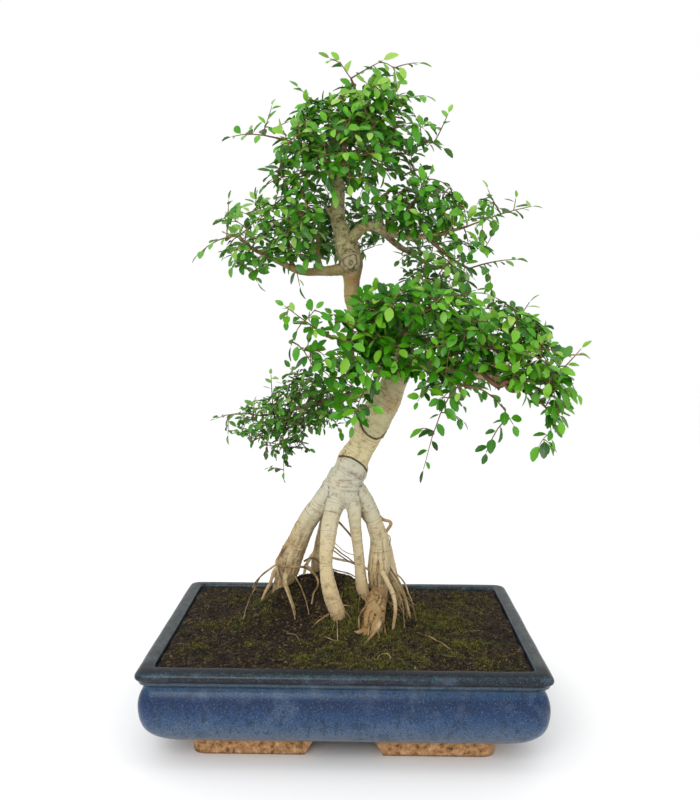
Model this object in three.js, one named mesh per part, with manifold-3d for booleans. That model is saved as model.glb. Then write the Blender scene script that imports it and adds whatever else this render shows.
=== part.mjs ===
// A zelkova bonsai that stands on exposed roots in a blue glazed tray pot.
// Millimetres, +Z up. Every place is measured from the middle of the pot's foot plane until the last section,
// which moves the whole object so that its origin is the bottom centre of its bounding box.
import * as THREE from "three";
import { ConvexGeometry } from "three/addons/geometries/ConvexGeometry.js";
import { mergeVertices } from "three/addons/utils/BufferGeometryUtils.js";
import Module from "manifold-3d";

const wasm = await Module();
wasm.setup();

// Driving dimensions
const GAP = 0.35; // clearance between neighbouring pieces
const POT_HALF_X = 207.5; // rim, half its length
const POT_HALF_Y = 154; // rim, half its width
const POT_HEIGHT = 102; // foot plane to rim
const FOOT_HEIGHT = 21;
const POT_FLOOR = 31; // top of the pot's floor
const WALL = 18; // rim width
const DRAIN_RADIUS = 11;
const DRAIN_X = 82;
const SOIL_LEVEL = 97.5; // soil along the walls
const BLADE_THICKNESS = 0.7; // at the rib
const BLADE_SPACING = 17.6; // between the leaves of a shoot
const SHOOTS_IN_PAD = 1; // shoots of each spray besides its named ones

// Solids and geometry

// A closed three.js geometry as a solid that can be joined and cut.
function solidOf(geometry) {
  const bare = geometry.clone();
  bare.deleteAttribute("normal");
  bare.deleteAttribute("uv");
  const merged = mergeVertices(bare, 1e-4);
  const vertProperties = merged.attributes.position.array;
  const triVerts = new Uint32Array(merged.index.array);
  return new wasm.Manifold(new wasm.Mesh({ numProp: 3, vertProperties, triVerts }));
}

// The solid's largest body as a geometry, so that scraps left by a cut are dropped.
function geometryOf(solid) {
  const bodies = solid.decompose();
  const largest = bodies.reduce((a, b) => (b.volume() > a.volume() ? b : a));
  const mesh = largest.getMesh();
  const geometry = new THREE.BufferGeometry();
  geometry.setAttribute("position", new THREE.BufferAttribute(mesh.vertProperties, 3));
  geometry.setIndex(new THREE.BufferAttribute(mesh.triVerts, 1));
  return geometry;
}

function joined(solids) {
  return wasm.Manifold.union(solids);
}

// One ring of points round a rectangle with round corners.
function roundedRing(halfX, halfY, radius, z, perCorner) {
  const ring = [];
  const corners = [
    [1, 1, 0],
    [-1, 1, 1],
    [-1, -1, 2],
    [1, -1, 3],
  ];
  for (const [sx, sy, quarter] of corners) {
    for (let i = 0; i < perCorner; i++) {
      const angle = (quarter + i / (perCorner - 1)) * (Math.PI / 2);
      ring.push([
        sx * (halfX - radius) + radius * Math.cos(angle),
        sy * (halfY - radius) + radius * Math.sin(angle),
        z,
      ]);
    }
  }
  return ring;
}

// A closed skin over a stack of rings, with a flat fan over the first and last ring.
function loft(rings) {
  const count = rings[0].length;
  const points = rings.flat();
  const faces = [];
  for (let r = 0; r < rings.length - 1; r++) {
    for (let i = 0; i < count; i++) {
      const a = r * count + i;
      const b = r * count + ((i + 1) % count);
      faces.push(a, b, b + count, a, b + count, a + count);
    }
  }
  const last = (rings.length - 1) * count;
  for (let i = 1; i < count - 1; i++) {
    faces.push(0, i + 1, i, last, last + i, last + i + 1);
  }
  const geometry = new THREE.BufferGeometry();
  geometry.setAttribute("position", new THREE.BufferAttribute(new Float32Array(points.flat()), 3));
  geometry.setIndex(faces);
  return geometry;
}

// A tapering limb with a ring of points round each point of its route. The whole limb can be grown for a clearance.
function limb(route, radii, sides, grow = 0) {
  const points = route.map((p) => new THREE.Vector3(...p));
  const end = points.length - 1;
  const chord = points[end].clone().sub(points[0]);
  const least = Math.min(...chord.toArray().map(Math.abs));
  const steady = new THREE.Vector3(...chord.toArray().map((part) => (Math.abs(part) === least ? 1 : 0)));
  const rings = points.map((at, i) => {
    const ahead = points[Math.min(i + 1, end)].clone().sub(points[Math.max(i - 1, 0)]).normalize();
    const u = steady.clone().cross(ahead).normalize();
    const v = ahead.clone().cross(u);
    const push = i === 0 ? -grow : i === end ? grow : 0;
    const radius = radii[i] + grow;
    return Array.from({ length: sides }, (_, k) => {
      const angle = (2 * Math.PI * k) / sides;
      return at
        .clone()
        .addScaledVector(ahead, push)
        .addScaledVector(u, radius * Math.cos(angle))
        .addScaledVector(v, radius * Math.sin(angle))
        .toArray();
    });
  });
  return solidOf(loft(rings));
}

// A flat outline in X and Y, raised from z0 to z1.
function raised(outline, z0, z1) {
  const shape = new THREE.Shape(outline.map(([x, y]) => new THREE.Vector2(x, y)));
  const geometry = new THREE.ExtrudeGeometry(shape, { depth: z1 - z0, bevelEnabled: false });
  return solidOf(geometry.translate(0, 0, z0));
}

function box(x0, x1, y0, y1, z0, z1) {
  const geometry = new THREE.BoxGeometry(x1 - x0, y1 - y0, z1 - z0);
  return solidOf(geometry.translate((x0 + x1) / 2, (y0 + y1) / 2, (z0 + z1) / 2));
}

// A round bar along Z.
function bar(x, y, z0, z1, radius, sides) {
  const geometry = new THREE.CylinderGeometry(radius, radius, z1 - z0, sides).rotateX(Math.PI / 2);
  return solidOf(geometry.translate(x, y, (z0 + z1) / 2));
}

// Pot: one fired stoneware tray with its feet, glazed blue outside and over the rim, bare clay at the feet.
// Each line of the profile is height, inset from the rim's edge, and corner radius, from the underside
// up the bulging wall, over the rim and down the inside.
const POT_PROFILE = [
  [FOOT_HEIGHT, 35, 26],
  [FOOT_HEIGHT + 2, 24, 25],
  [29, 11.6, 22],
  [37, 5.4, 18],
  [50, 2, 16],
  [65, 1.2, 14],
  [75, 3.4, 13],
  [81, 6.6, 11],
  [85, 7, 11],
  [87, 3.4, 10],
  [91, 2.8, 10],
  [93, 0.4, 10],
  [96, 0, 10],
  [99.6, 2.2, 10],
  [101.5, 6.5, 9],
  [POT_HEIGHT, 12, 7],
  [POT_HEIGHT - 2, WALL, 7],
  [60, WALL, 8],
  [POT_FLOOR + 5, WALL + 3, 9],
  [POT_FLOOR, WALL + 9, 9],
];
const FOOT_RING_HALF_X = 157;
const FOOT_RING_HALF_Y = 114;
const FOOT_WIDTH = 21;
const FOOT_GAP_LOW = 41; // half the gap between two feet, at the ground
const FOOT_GAP_HIGH = 28; // and under the pot

function potSolid() {
  const rings = POT_PROFILE.map(([z, inset, radius]) =>
    roundedRing(POT_HALF_X - inset, POT_HALF_Y - inset, radius, z, 4),
  );
  const tray = solidOf(loft(rings));
  const top = FOOT_HEIGHT + 3;
  const footOuter = raised(roundedRing(FOOT_RING_HALF_X, FOOT_RING_HALF_Y, 14, 0, 4), 0, top);
  const footInner = raised(
    roundedRing(FOOT_RING_HALF_X - FOOT_WIDTH, FOOT_RING_HALF_Y - FOOT_WIDTH, 6, 0, 3),
    -1,
    top + 1,
  );
  const gapProfile = new THREE.Shape([
    new THREE.Vector2(-FOOT_GAP_LOW - 0.6, -1),
    new THREE.Vector2(FOOT_GAP_LOW + 0.6, -1),
    new THREE.Vector2(FOOT_GAP_HIGH, FOOT_HEIGHT),
    new THREE.Vector2(-FOOT_GAP_HIGH, FOOT_HEIGHT),
  ]);
  const length = 2 * POT_HALF_X;
  const gap = new THREE.ExtrudeGeometry(gapProfile, { depth: length, bevelEnabled: false });
  gap.translate(0, 0, -length / 2).rotateX(Math.PI / 2);
  const alongY = solidOf(gap);
  const alongX = solidOf(gap.clone().rotateZ(Math.PI / 2));
  const feet = footOuter.subtract(footInner).subtract(joined([alongY, alongX]));
  const drains = [-1, 1].map((side) => bar(side * DRAIN_X, 0, 0, POT_FLOOR + 5, DRAIN_RADIUS, 16));
  return tray.add(feet).subtract(joined(drains));
}

// Drain screens: one small square of plastic mesh lies on the floor over each drain hole and keeps the soil in.
const SCREEN_HALF = 21;
const SCREEN_THICKNESS = 1.6;
const SCREEN_SLOTS = 2;
const SCREEN_SLOT = 5.2;
const SCREEN_PITCH = 7.6;

function screenSolid(side) {
  const low = POT_FLOOR + GAP;
  const x = side * DRAIN_X;
  const plate = box(x - SCREEN_HALF, x + SCREEN_HALF, -SCREEN_HALF, SCREEN_HALF, low, low + SCREEN_THICKNESS);
  const holes = [];
  for (let i = 0; i < SCREEN_SLOTS; i++) {
    for (let j = 0; j < SCREEN_SLOTS; j++) {
      const hx = x + (i - (SCREEN_SLOTS - 1) / 2) * SCREEN_PITCH;
      const hy = (j - (SCREEN_SLOTS - 1) / 2) * SCREEN_PITCH;
      const half = SCREEN_SLOT / 2;
      holes.push(box(hx - half, hx + half, hy - half, hy + half, low - 1, low + SCREEN_THICKNESS + 1));
    }
  }
  return plate.subtract(joined(holes));
}

// Soil: level along the walls, and heaped round the roots.
// A mound is its middle, its height and its reach along X and Y.
const MOUNDS = [
  [-18, 44, 48, 58, 46],
  [-68, 36, 14, 30, 34],
  [12, 10, 14, 30, 24],
  [-6, -26, 9, 34, 26],
  [120, 20, 4, 50, 60],
];
const SOIL_COLUMNS = 12;
const SOIL_ROWS = 9;

function soilHeight(x, y) {
  let z = SOIL_LEVEL + 1.2 * Math.sin(x * 0.071 + 1) * Math.cos(y * 0.083) + 0.8 * Math.sin(x * 0.19 + y * 0.13);
  for (const [mx, my, height, rx, ry] of MOUNDS) {
    z += height * Math.exp(-(((x - mx) / rx) ** 2) - ((y - my) / ry) ** 2);
  }
  return z;
}

function soilSolid() {
  const halfX = POT_HALF_X - WALL;
  const halfY = POT_HALF_Y - WALL;
  const block = new THREE.BoxGeometry(2 * halfX, 2 * halfY, 2, SOIL_COLUMNS, SOIL_ROWS, 1);
  const place = block.attributes.position;
  for (let i = 0; i < place.count; i++) {
    const x = place.getX(i);
    const y = place.getY(i);
    place.setZ(i, place.getZ(i) > 0 ? soilHeight(x, y) : POT_FLOOR - 5);
  }
  // The inside of the pot, drawn in by the gap, up to just under the rim.
  const inside = POT_PROFILE.slice(-3)
    .reverse()
    .map(([z, inset, radius]) => roundedRing(POT_HALF_X - inset - GAP, POT_HALF_Y - inset - GAP, radius, z + GAP, 5));
  const inner = roundedRing(POT_HALF_X - WALL - GAP, POT_HALF_Y - WALL - GAP, 8, POT_HEIGHT - 2, 5);
  const mound = roundedRing(POT_HALF_X - WALL - GAP, POT_HALF_Y - WALL - GAP, 8, 190, 5);
  const room = solidOf(loft([...inside, inner, mound]));
  const floor = box(-400, 400, -400, 400, 0, POT_FLOOR + GAP);
  const screens = [-1, 1].map((side) => {
    const x = side * DRAIN_X;
    const half = SCREEN_HALF + GAP;
    return box(x - half, x + half, -half, half, 0, POT_FLOOR + SCREEN_THICKNESS + 2 * GAP);
  });
  return solidOf(block).intersect(room).subtract(joined([floor, ...screens]));
}

// Wood: roots, trunk and limbs grew as one piece. Each line is a name, the route from its foot to its
// end, and the radius at each point of the route.
const TRUNK = {
  route: [
    [-5, 11, 234], [-4, 10, 250], [-2, 9, 265], [4, 8, 277], [8, 7, 291], [15, 7, 303], [21, 6, 315], [26, 5, 328],
    [34, 3, 343], [43, 2, 357], [52, -2, 379], [60, -3, 396], [60, -2, 413], [47, 1, 428], [29, 5, 437],
    [13, 9, 450], [4, 12, 468], [3, 13, 488], [3, 14, 500], [2, 14, 513], [-2, 13, 526], [-7, 12, 539],
    [-11, 12, 552], [-14, 11, 568], [-13, 10, 582], [-12, 10, 600], [-11, 10, 616], [-8, 8, 634], [-2, 4, 660],
    [5, 0, 686],
  ],
  radii: [
    16, 19.5, 20.5, 19.6, 18.3, 16.7, 17.4, 20.2, 19.2, 17.2, 14.6, 13.5, 12.8, 12.2, 11.4, 10, 9, 8.6, 10.5, 14,
    13.5, 10.5, 8.8, 8, 7.2, 6.4, 5.6, 4.4, 3.2, 2.2,
  ],
};
const ROOTS = [
  { route: [[-8, 10, 274], [-20, 12, 252], [-33, 16, 233], [-47, 22, 212], [-56, 28, 191], [-64, 33, 173],
      [-69, 37, 153], [-76, 40, 134], [-84, 44, 104]],
    radii: [12, 12.4, 12, 11.8, 13, 14.2, 14, 11, 8] },
  { route: [[-5, 4, 256], [-13, -1, 238], [-18, -6, 222], [-21, -12, 202], [-23, -15, 178], [-21, -16, 156],
      [-16, -20, 136], [-9, -23, 118], [-5, -26, 94]],
    radii: [11, 10.8, 10.2, 9.1, 7.7, 8.2, 9.1, 9, 6] },
  { route: [[3, 4, 256], [8, 1, 232], [10, 1, 210], [13, 3, 188], [15, 6, 166], [18, 10, 138], [20, 14, 104]],
    radii: [9.4, 8.2, 6.8, 6.1, 6.2, 7.4, 6] },
  { route: [[8, 10, 258], [17, 11, 246], [25, 12, 232], [31, 14, 215], [37, 17, 196], [38, 20, 175], [37, 22, 156],
      [38, 26, 134], [40, 30, 100]],
    radii: [11, 10, 9.4, 9.6, 10.6, 12, 12.4, 10.5, 7] },
  { route: [[8, 14, 244], [28, 24, 218], [42, 34, 188], [50, 41, 158], [56, 47, 130], [61, 52, 96]],
    radii: [10, 9, 8.4, 8, 8, 6] },
  { route: [[-6, 16, 246], [-18, 28, 222], [-27, 44, 192], [-34, 60, 160], [-38, 74, 124], [-42, 84, 92]],
    radii: [11, 10, 9.4, 9, 9, 7] },
  // The stump of a thick cut root that lies half sunk in front, and the thinner roots round it.
  { route: [[38, 22, 134], [36, 10, 126], [33, -4, 118], [30, -18, 109], [28, -31, 100], [27, -42, 90]],
    radii: [8, 11, 12.6, 13, 11.5, 7] },
  { route: [[38, 14, 162], [47, 3, 148], [54, -5, 134], [56, -12, 120], [54, -20, 107], [51, -28, 92]],
    radii: [3.2, 3, 2.8, 2.6, 2.3, 1.8] },
  { route: [[40, -16, 114], [38, -30, 110], [29, -48, 103], [19, -62, 97]], radii: [2.6, 2.5, 2.1, 1.6] },
  { route: [[46, 30, 164], [58, 24, 146], [67, 16, 128], [75, 10, 100]], radii: [3.4, 2.9, 2.4, 1.8] },
  { route: [[-66, 36, 160], [-84, 34, 153], [-90, 30, 138], [-98, 24, 122], [-104, 20, 98]],
    radii: [3.6, 2.8, 2.4, 2, 1.6] },
  { route: [[-70, 34, 150], [-72, 18, 144], [-66, 5, 130], [-60, -3, 116], [-57, -8, 96]],
    radii: [4, 3, 2.5, 2.1, 1.8] },
  { route: [[-30, 54, 176], [-44, 52, 162], [-50, 44, 150], [-52, 36, 134]], radii: [3.2, 2.6, 2.4, 1.8] },
  { route: [[-33, 62, 164], [-16, 68, 157], [10, 64, 152], [34, 52, 144], [50, 44, 138]], radii: [2.4, 2, 1.8, 2, 2.2] },
];
const LIMBS = {
  apexLeft: { route: [[-12, 10, 611], [-31, 0, 624], [-54, -10, 634]], radii: [4.4, 3, 2] },
  apexRight: { route: [[-10, 9, 623], [13, -4, 632], [41, -14, 637]], radii: [4.2, 3, 2] },
  apexBack: { route: [[-11, 10, 614], [-4, 30, 630], [-3, 44, 638]], radii: [4, 2.8, 2] },
  apexFront: { route: [[-10, 8, 625], [-8, -12, 631], [-6, -30, 632]], radii: [3.8, 2.6, 1.9] },
  midLeft: {
    route: [[2, 13, 506], [-14, 9, 503], [-32, 4, 501], [-52, -8, 500], [-75, -18, 509], [-99, -24, 520]],
    radii: [8, 6.4, 5.2, 4.2, 3.2, 2.1],
  },
  midLeftUp: { route: [[-32, 4, 501], [-36, 20, 528], [-33, 33, 560]], radii: [3.6, 3, 2] },
  midRight: {
    route: [[-4, 11, 532], [6, 6, 541], [17, 0, 550], [34, -5, 548], [51, -10, 541], [68, -18, 537], [97, -26, 540]],
    radii: [8, 7, 6, 5.2, 4.6, 3.8, 2.2],
  },
  midRightBack: { route: [[34, -4, 547], [54, 22, 532], [71, 42, 524], [94, 58, 511]], radii: [4.4, 3.8, 3, 2] },
  midBack: { route: [[-8, 12, 543], [-10, 40, 557], [-12, 64, 568]], radii: [5, 3.4, 2.1] },
  frontMain: {
    route: [[60, -3, 402], [74, -20, 401], [92, -40, 399], [118, -62, 396], [146, -82, 390], [175, -94, 388]],
    radii: [10, 7.4, 6.2, 5, 3.8, 2.3],
  },
  frontUpper: { route: [[54, -2, 422], [60, -28, 438], [80, -56, 456]], radii: [7, 4.4, 2.2] },
  frontLeft: { route: [[40, 2, 431], [21, -32, 430], [0, -54, 426]], radii: [6, 3.8, 2.1] },
  lowLeft: {
    route: [[49, -1, 372], [32, 22, 367], [8, 40, 360], [-20, 56, 352], [-50, 68, 344], [-81, 76, 335]],
    radii: [9, 7, 5.6, 4.6, 3.6, 2.2],
  },
  back: { route: [[60, -2, 410], [64, 34, 428], [71, 84, 450]], radii: [8, 5, 2.2] },
  backRight: { route: [[58, -2, 392], [88, 34, 400], [128, 60, 402]], radii: [7, 4.4, 2.2] },
  // Short stubs that are left where limbs were cut off.
  leftStub: { route: [[-10, 12, 554], [-22, 10, 566], [-29, 9, 574]], radii: [4.5, 3, 1.4] },
  rightStub: { route: [[34, -5, 546], [33, -9, 560], [32, -12, 571]], radii: [4.6, 4, 3.6] },
  // The round callus where a thick limb was once cut from the front of the trunk.
  callus: { route: [[2, 12, 512], [1, 2, 512], [0, -4, 512]], radii: [11.5, 11, 8.4] },
};

function woodSolid(grow) {
  const trunk = limb(TRUNK.route, TRUNK.radii, 10, grow);
  const roots = ROOTS.map(({ route, radii }) => limb(route, radii, radii[0] > 5 ? 7 : 4, grow));
  const limbs = Object.values(LIMBS).map(({ route, radii }) => limb(route, radii, radii[0] > 5 ? 6 : 5, grow));
  return joined([trunk, ...roots, ...limbs]);
}

// Sprays: the leafy twigs of each limb. A spray is seated on its limb, follows its stem, fills an oval
// pad with short shoots, and sends its named longer shoots out to their tips.
// pad is the middle and the reach along X, Y and Z. leaf is the mean length of a blade.
const SPRAYS = {
  apex_top: { seat: [5, 0, 686], stem: [[4, -2, 698], [0, -3, 708]], pad: [[23, -2, 685], [39, 36, 27]], leaf: 20,
    tips: [[-12, -5, 725], [-22, -5, 728], [33, -12, 724], [47, -16, 714], [71, -20, 720]] },
  apex_left: { seat: [-54, -10, 634], stem: [[-68, -13, 639], [-80, -15, 642]], pad: [[-58, -8, 639], [28, 36, 28]], leaf: 17,
    tips: [[-127, -20, 642], [-86, 0, 679], [-106, -14, 650]] },
  apex_upper_left: { seat: [-3, 4, 658], stem: [[-14, 2, 668], [-28, 0, 674]], pad: [[-23, 2, 661], [38, 38, 27]], leaf: 18,
    tips: [[-57, 6, 700], [-53, -25, 668], [-16, 30, 696]] },
  apex_right: { seat: [41, -14, 637], stem: [[54, -17, 640], [66, -20, 640]], pad: [[59, -12, 651], [29, 38, 19]], leaf: 18,
    tips: [[99, -15, 633], [104, -24, 667], [85, 16, 640]] },
  apex_upper_right: { seat: [1, 2, 672], stem: [[16, -3, 676], [34, -8, 678]], pad: [[25, -6, 668], [24, 38, 20]], leaf: 20,
    tips: [[79, -18, 687], [44, -40, 687], [55, 24, 694]] },
  apex_front: { seat: [-6, -30, 632], stem: [[-5, -42, 630], [-4, -54, 624]], pad: [[-2, -50, 617], [44, 22, 42]], leaf: 18,
    tips: [[0, -58, 588], [-33, -62, 612], [28, -64, 618]] },
  apex_back: { seat: [-3, 44, 638], stem: [[0, 56, 642], [2, 68, 642]], pad: [[4, 62, 636], [54, 32, 39]], leaf: 18,
    tips: [[10, 100, 627], [-44, 84, 643], [46, 84, 645]] },
  apex_low_left: { seat: [-26, 3, 621], stem: [[-40, 4, 612], [-54, 2, 604]], pad: [[-56, 2, 608], [35, 36, 29]], leaf: 18,
    tips: [[-92, -15, 591], [-76, -8, 615], [-68, 34, 592]] },
  apex_low_right: { seat: [13, -4, 632], stem: [[24, -2, 620], [38, -4, 612]], pad: [[46, -6, 625], [34, 34, 20]], leaf: 18,
    tips: [[65, -15, 595], [84, 10, 616]] },
  midleft_outer: { seat: [-99, -24, 520], stem: [[-110, -26, 527], [-118, -28, 536]], pad: [[-104, -20, 538], [33, 38, 42]], leaf: 17,
    tips: [[-161, -30, 517], [-130, -24, 574], [-135, -34, 554], [-126, -20, 505], [-100, -18, 488], [-118, 22, 540]] },
  midleft_inner: { seat: [-62, -12, 503], stem: [[-66, -14, 520], [-66, -12, 540]], pad: [[-67, -10, 545], [34, 40, 38]], leaf: 17,
    tips: [[-101, -10, 576], [-72, 8, 584], [-54, -14, 484], [-48, -52, 550]] },
  midleft_back: { seat: [-33, 33, 560], stem: [[-36, 42, 570], [-42, 50, 574]], pad: [[-46, 50, 559], [30, 32, 46]], leaf: 15,
    tips: [[-74, 62, 581], [-57, 92, 551], [-20, 72, 521]] },
  midright_outer: { seat: [97, -26, 540], stem: [[112, -29, 544], [126, -30, 548]], pad: [[131, -24, 548], [38, 36, 31]], leaf: 18,
    tips: [[193, -36, 569], [177, -30, 578], [148, -24, 588], [160, 18, 561]] },
  midright_upper: { seat: [56, -12, 540], stem: [[60, -14, 556], [66, -16, 572]], pad: [[73, -12, 569], [44, 40, 31]], leaf: 18,
    tips: [[46, -20, 588], [85, -22, 602], [110, -26, 587], [20, -30, 562], [78, 34, 582]] },
  midright_low: { seat: [82, -22, 538], stem: [[96, -24, 526], [114, -22, 512], [130, -20, 504]], pad: [[99, -16, 495], [29, 34, 33]], leaf: 17,
    tips: [[179, -25, 514], [154, -28, 483], [154, -32, 465]] },
  midright_back: { seat: [94, 58, 511], stem: [[104, 63, 510], [114, 66, 508]], pad: [[96, 58, 516], [40, 34, 41]], leaf: 15,
    tips: [[61, 34, 487], [86, 44, 480], [144, 76, 501]] },
  mid_back: { seat: [-12, 64, 568], stem: [[-12, 76, 571], [-8, 88, 572]], pad: [[-7, 84, 557], [50, 32, 36]], leaf: 16,
    tips: [[-5, 126, 559], [46, 102, 578], [-58, 98, 548]] },
  front_outer: { seat: [175, -94, 388], stem: [[188, -97, 388], [202, -99, 386]], pad: [[189, -94, 404], [32, 36, 32]], leaf: 19,
    tips: [[233, -104, 421], [231, -100, 376], [207, -112, 400], [211, -62, 400]] },
  front_hanging: { seat: [162, -89, 389], stem: [[182, -96, 378], [200, -100, 362]], pad: [[211, -98, 368], [10, 22, 28]], leaf: 21,
    tips: [[208, -98, 330], [195, -102, 324], [203, -104, 326]] },
  front_right_upper: { seat: [146, -82, 390], stem: [[152, -83, 408], [158, -84, 430]], pad: [[153, -80, 438], [50, 38, 25]], leaf: 19,
    tips: [[183, -90, 467], [189, -96, 447], [146, -80, 474], [168, -44, 436]] },
  front_middle: { seat: [116, -60, 396], stem: [[114, -66, 410], [110, -68, 426]], pad: [[111, -68, 419], [42, 38, 40]], leaf: 19,
    tips: [[118, -104, 418], [79, -100, 419]] },
  front_upper: { seat: [80, -56, 456], stem: [[90, -60, 462], [100, -62, 468]], pad: [[74, -54, 464], [62, 38, 19]], leaf: 19,
    tips: [[131, -70, 479], [50, -62, 482], [88, -94, 465]] },
  front_left: { seat: [0, -54, 426], stem: [[-10, -60, 428], [-22, -64, 430]], pad: [[-9, -60, 421], [38, 28, 42]], leaf: 19,
    tips: [[-65, -80, 461], [-63, -78, 447], [-59, -70, 420], [-34, -70, 458]] },
  front_centre: { seat: [19, -34, 430], stem: [[26, -44, 418], [36, -52, 406]], pad: [[20, -50, 376], [36, 30, 46]], leaf: 19,
    tips: [[-26, -82, 404], [32, -88, 387]] },
  front_low: { seat: [92, -40, 399], stem: [[100, -58, 388], [114, -76, 382], [130, -86, 380]], pad: [[97, -74, 378], [44, 26, 23]], leaf: 19,
    tips: [[79, -92, 296], [168, -100, 344], [142, -98, 315], [118, -92, 346], [77, -70, 335]] },
  lowleft_outer: { seat: [-81, 76, 335], stem: [[-94, 79, 332], [-108, 82, 330]], pad: [[-107, 78, 325], [28, 36, 26]], leaf: 14,
    tips: [[-163, 90, 325], [-147, 80, 307], [-93, 64, 381], [-126, 96, 302]] },
  lowleft_inner: { seat: [-44, 66, 346], stem: [[-48, 66, 356], [-56, 64, 368]], pad: [[-52, 62, 350], [40, 38, 39]], leaf: 14,
    tips: [[-69, 52, 390], [-10, 30, 319], [-20, 96, 369]] },
  lowleft_hanging: { seat: [-66, 73, 340], stem: [[-74, 78, 326], [-80, 82, 308]], pad: [[-82, 80, 305], [30, 32, 23]], leaf: 14,
    tips: [[-79, 84, 254], [-98, 90, 264], [-48, 72, 291], [-62, 44, 310]] },
  back: { seat: [71, 84, 450], stem: [[74, 94, 454], [76, 106, 456]], pad: [[85, 98, 448], [52, 36, 35]], leaf: 18,
    tips: [[76, 132, 438], [21, 120, 462], [130, 112, 451]] },
  back_right: { seat: [128, 60, 402], stem: [[138, 64, 404], [150, 68, 406]], pad: [[129, 60, 397], [62, 38, 35]], leaf: 18,
    tips: [[191, 84, 392], [150, 108, 392], [127, 62, 366]] },
};
const FIRST_SEED = 11;
const CANDIDATES = 6; // a new shoot takes the emptiest of this many places
const BARE = 0.28; // share of a shoot that has no leaves
const UP = new THREE.Vector3(0, 0, 1);

// A seeded source of numbers from 0 to 1, so that each build grows the same tree.
function dice(seed) {
  let state = seed >>> 0;
  return () => {
    state = (Math.imul(state, 1664525) + 1013904223) >>> 0;
    return state / 4294967296;
  };
}

function nearest(points, to) {
  return points.reduce((a, b) => (b.distanceToSquared(to) < a.distanceToSquared(to) ? b : a));
}

// The shoots of a spray: each springs from the nearest wood that is there already and arches to its end.
function shootsOf(spray, seed, extra) {
  const roll = dice(seed);
  const stem = [spray.seat, ...spray.stem].map((p) => new THREE.Vector3(...p));
  const wood = [0.4, 0.55, 0.7, 0.85, 1].map((share) => {
    const place = share * (stem.length - 1);
    const before = Math.min(Math.floor(place), stem.length - 2);
    return stem[before].clone().lerp(stem[before + 1], place - before);
  });
  const [middle, reach] = spray.pad;
  const ends = spray.tips.map((p) => new THREE.Vector3(...p));
  for (let n = 0; n < extra; n++) {
    let best = null;
    let room = -1;
    for (let c = 0; c < CANDIDATES; c++) {
      const turn = roll() * 2 * Math.PI;
      const tall = 2 * roll() - 1;
      const out = 0.55 + 0.45 * Math.sqrt(roll());
      const flat = Math.sqrt(1 - tall * tall) * out;
      const at = new THREE.Vector3(
        middle[0] + reach[0] * flat * Math.cos(turn),
        middle[1] + reach[1] * flat * Math.sin(turn),
        middle[2] + reach[2] * tall * out,
      );
      const clear = nearest(ends, at).distanceTo(at);
      if (clear > room) {
        room = clear;
        best = at;
      }
    }
    ends.push(best);
  }
  return ends.map((end) => {
    const start = nearest(wood, end);
    const span = end.clone().sub(start);
    const crown = start.clone().add(new THREE.Vector3(0.55 * span.x, 0.55 * span.y, 0.3 * span.z + 0.13 * span.length()));
    const curve = new THREE.QuadraticBezierCurve3(start, crown, end);
    wood.push(...[0.3, 0.5, 0.7, 0.9].map((share) => curve.getPoint(share)));
    return curve;
  });
}

// The way a shoot's upper side faces at a place: up, a little outwards and a little to the front.
function lightAt(at) {
  const outward = new THREE.Vector3(at.x, at.y, 0).normalize();
  return new THREE.Vector3(0, -0.25, 1).addScaledVector(outward, 0.35).normalize();
}

// The leaves of a shoot stand alternately on its right and left, and one closes its end.
function leavesOf(curve, spray, seed) {
  const roll = dice(seed);
  const leafy = curve.getLength() * (1 - BARE);
  const count = Math.max(2, Math.round(leafy / BLADE_SPACING));
  const leaves = [];
  for (let k = 0; k <= count; k++) {
    const side = k === count ? 0 : k % 2 ? -1 : 1;
    const share = side ? BARE + ((1 - BARE) * (k + 0.3)) / count : 1;
    const at = curve.getPoint(share);
    const along = curve.getTangent(share);
    const light = lightAt(at);
    const right = along.clone().cross(light).normalize();
    const splay = side * (0.9 + 0.35 * roll());
    const forward = along.clone().multiplyScalar(Math.cos(splay)).addScaledVector(right, Math.sin(splay));
    forward.z += 0.3 * (roll() - 0.6);
    forward.normalize();
    const face = light.addScaledVector(right, 0.9 * (roll() - 0.5));
    face.addScaledVector(forward, -face.dot(forward)).normalize();
    leaves.push({ share, side, at, forward, face, length: spray.leaf * (0.75 + 0.45 * roll()) });
  }
  return leaves;
}

// A blade is an arched plate that thins towards its edges and its end. Its seven corners are places along it
// and aside: five round its upper face from its right to its left, and two below.
const BLADE_CORNERS = [[0.34, -0.26, 1], [0.7, -0.23, 1], [1, 0, 0], [0.7, 0.23, 1], [0.34, 0.26, 1]];
const BLADE_BELOW = [[0.52, -0.24, -1], [0.52, 0.24, -1]];
const BLADE_ARCH = 0.16;

function bladePoints({ at, forward, face, length }, grow = 0) {
  const across = face.clone().cross(forward);
  return [...BLADE_CORNERS, ...BLADE_BELOW].map(([along, aside, level]) =>
    at
      .clone()
      .addScaledVector(forward, along * length + (along === 1 ? grow : 0))
      .addScaledVector(across, aside * (length + 2 * grow))
      .addScaledVector(face, level * (BLADE_THICKNESS / 2 + grow) - BLADE_ARCH * length * along * along),
  );
}

// The room that a blade takes, with a clearance.
function bladeRoom(leaf, grow) {
  return solidOf(new ConvexGeometry([leaf.at.clone().addScaledVector(leaf.forward, 1.5), ...bladePoints(leaf, grow)]));
}

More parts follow.
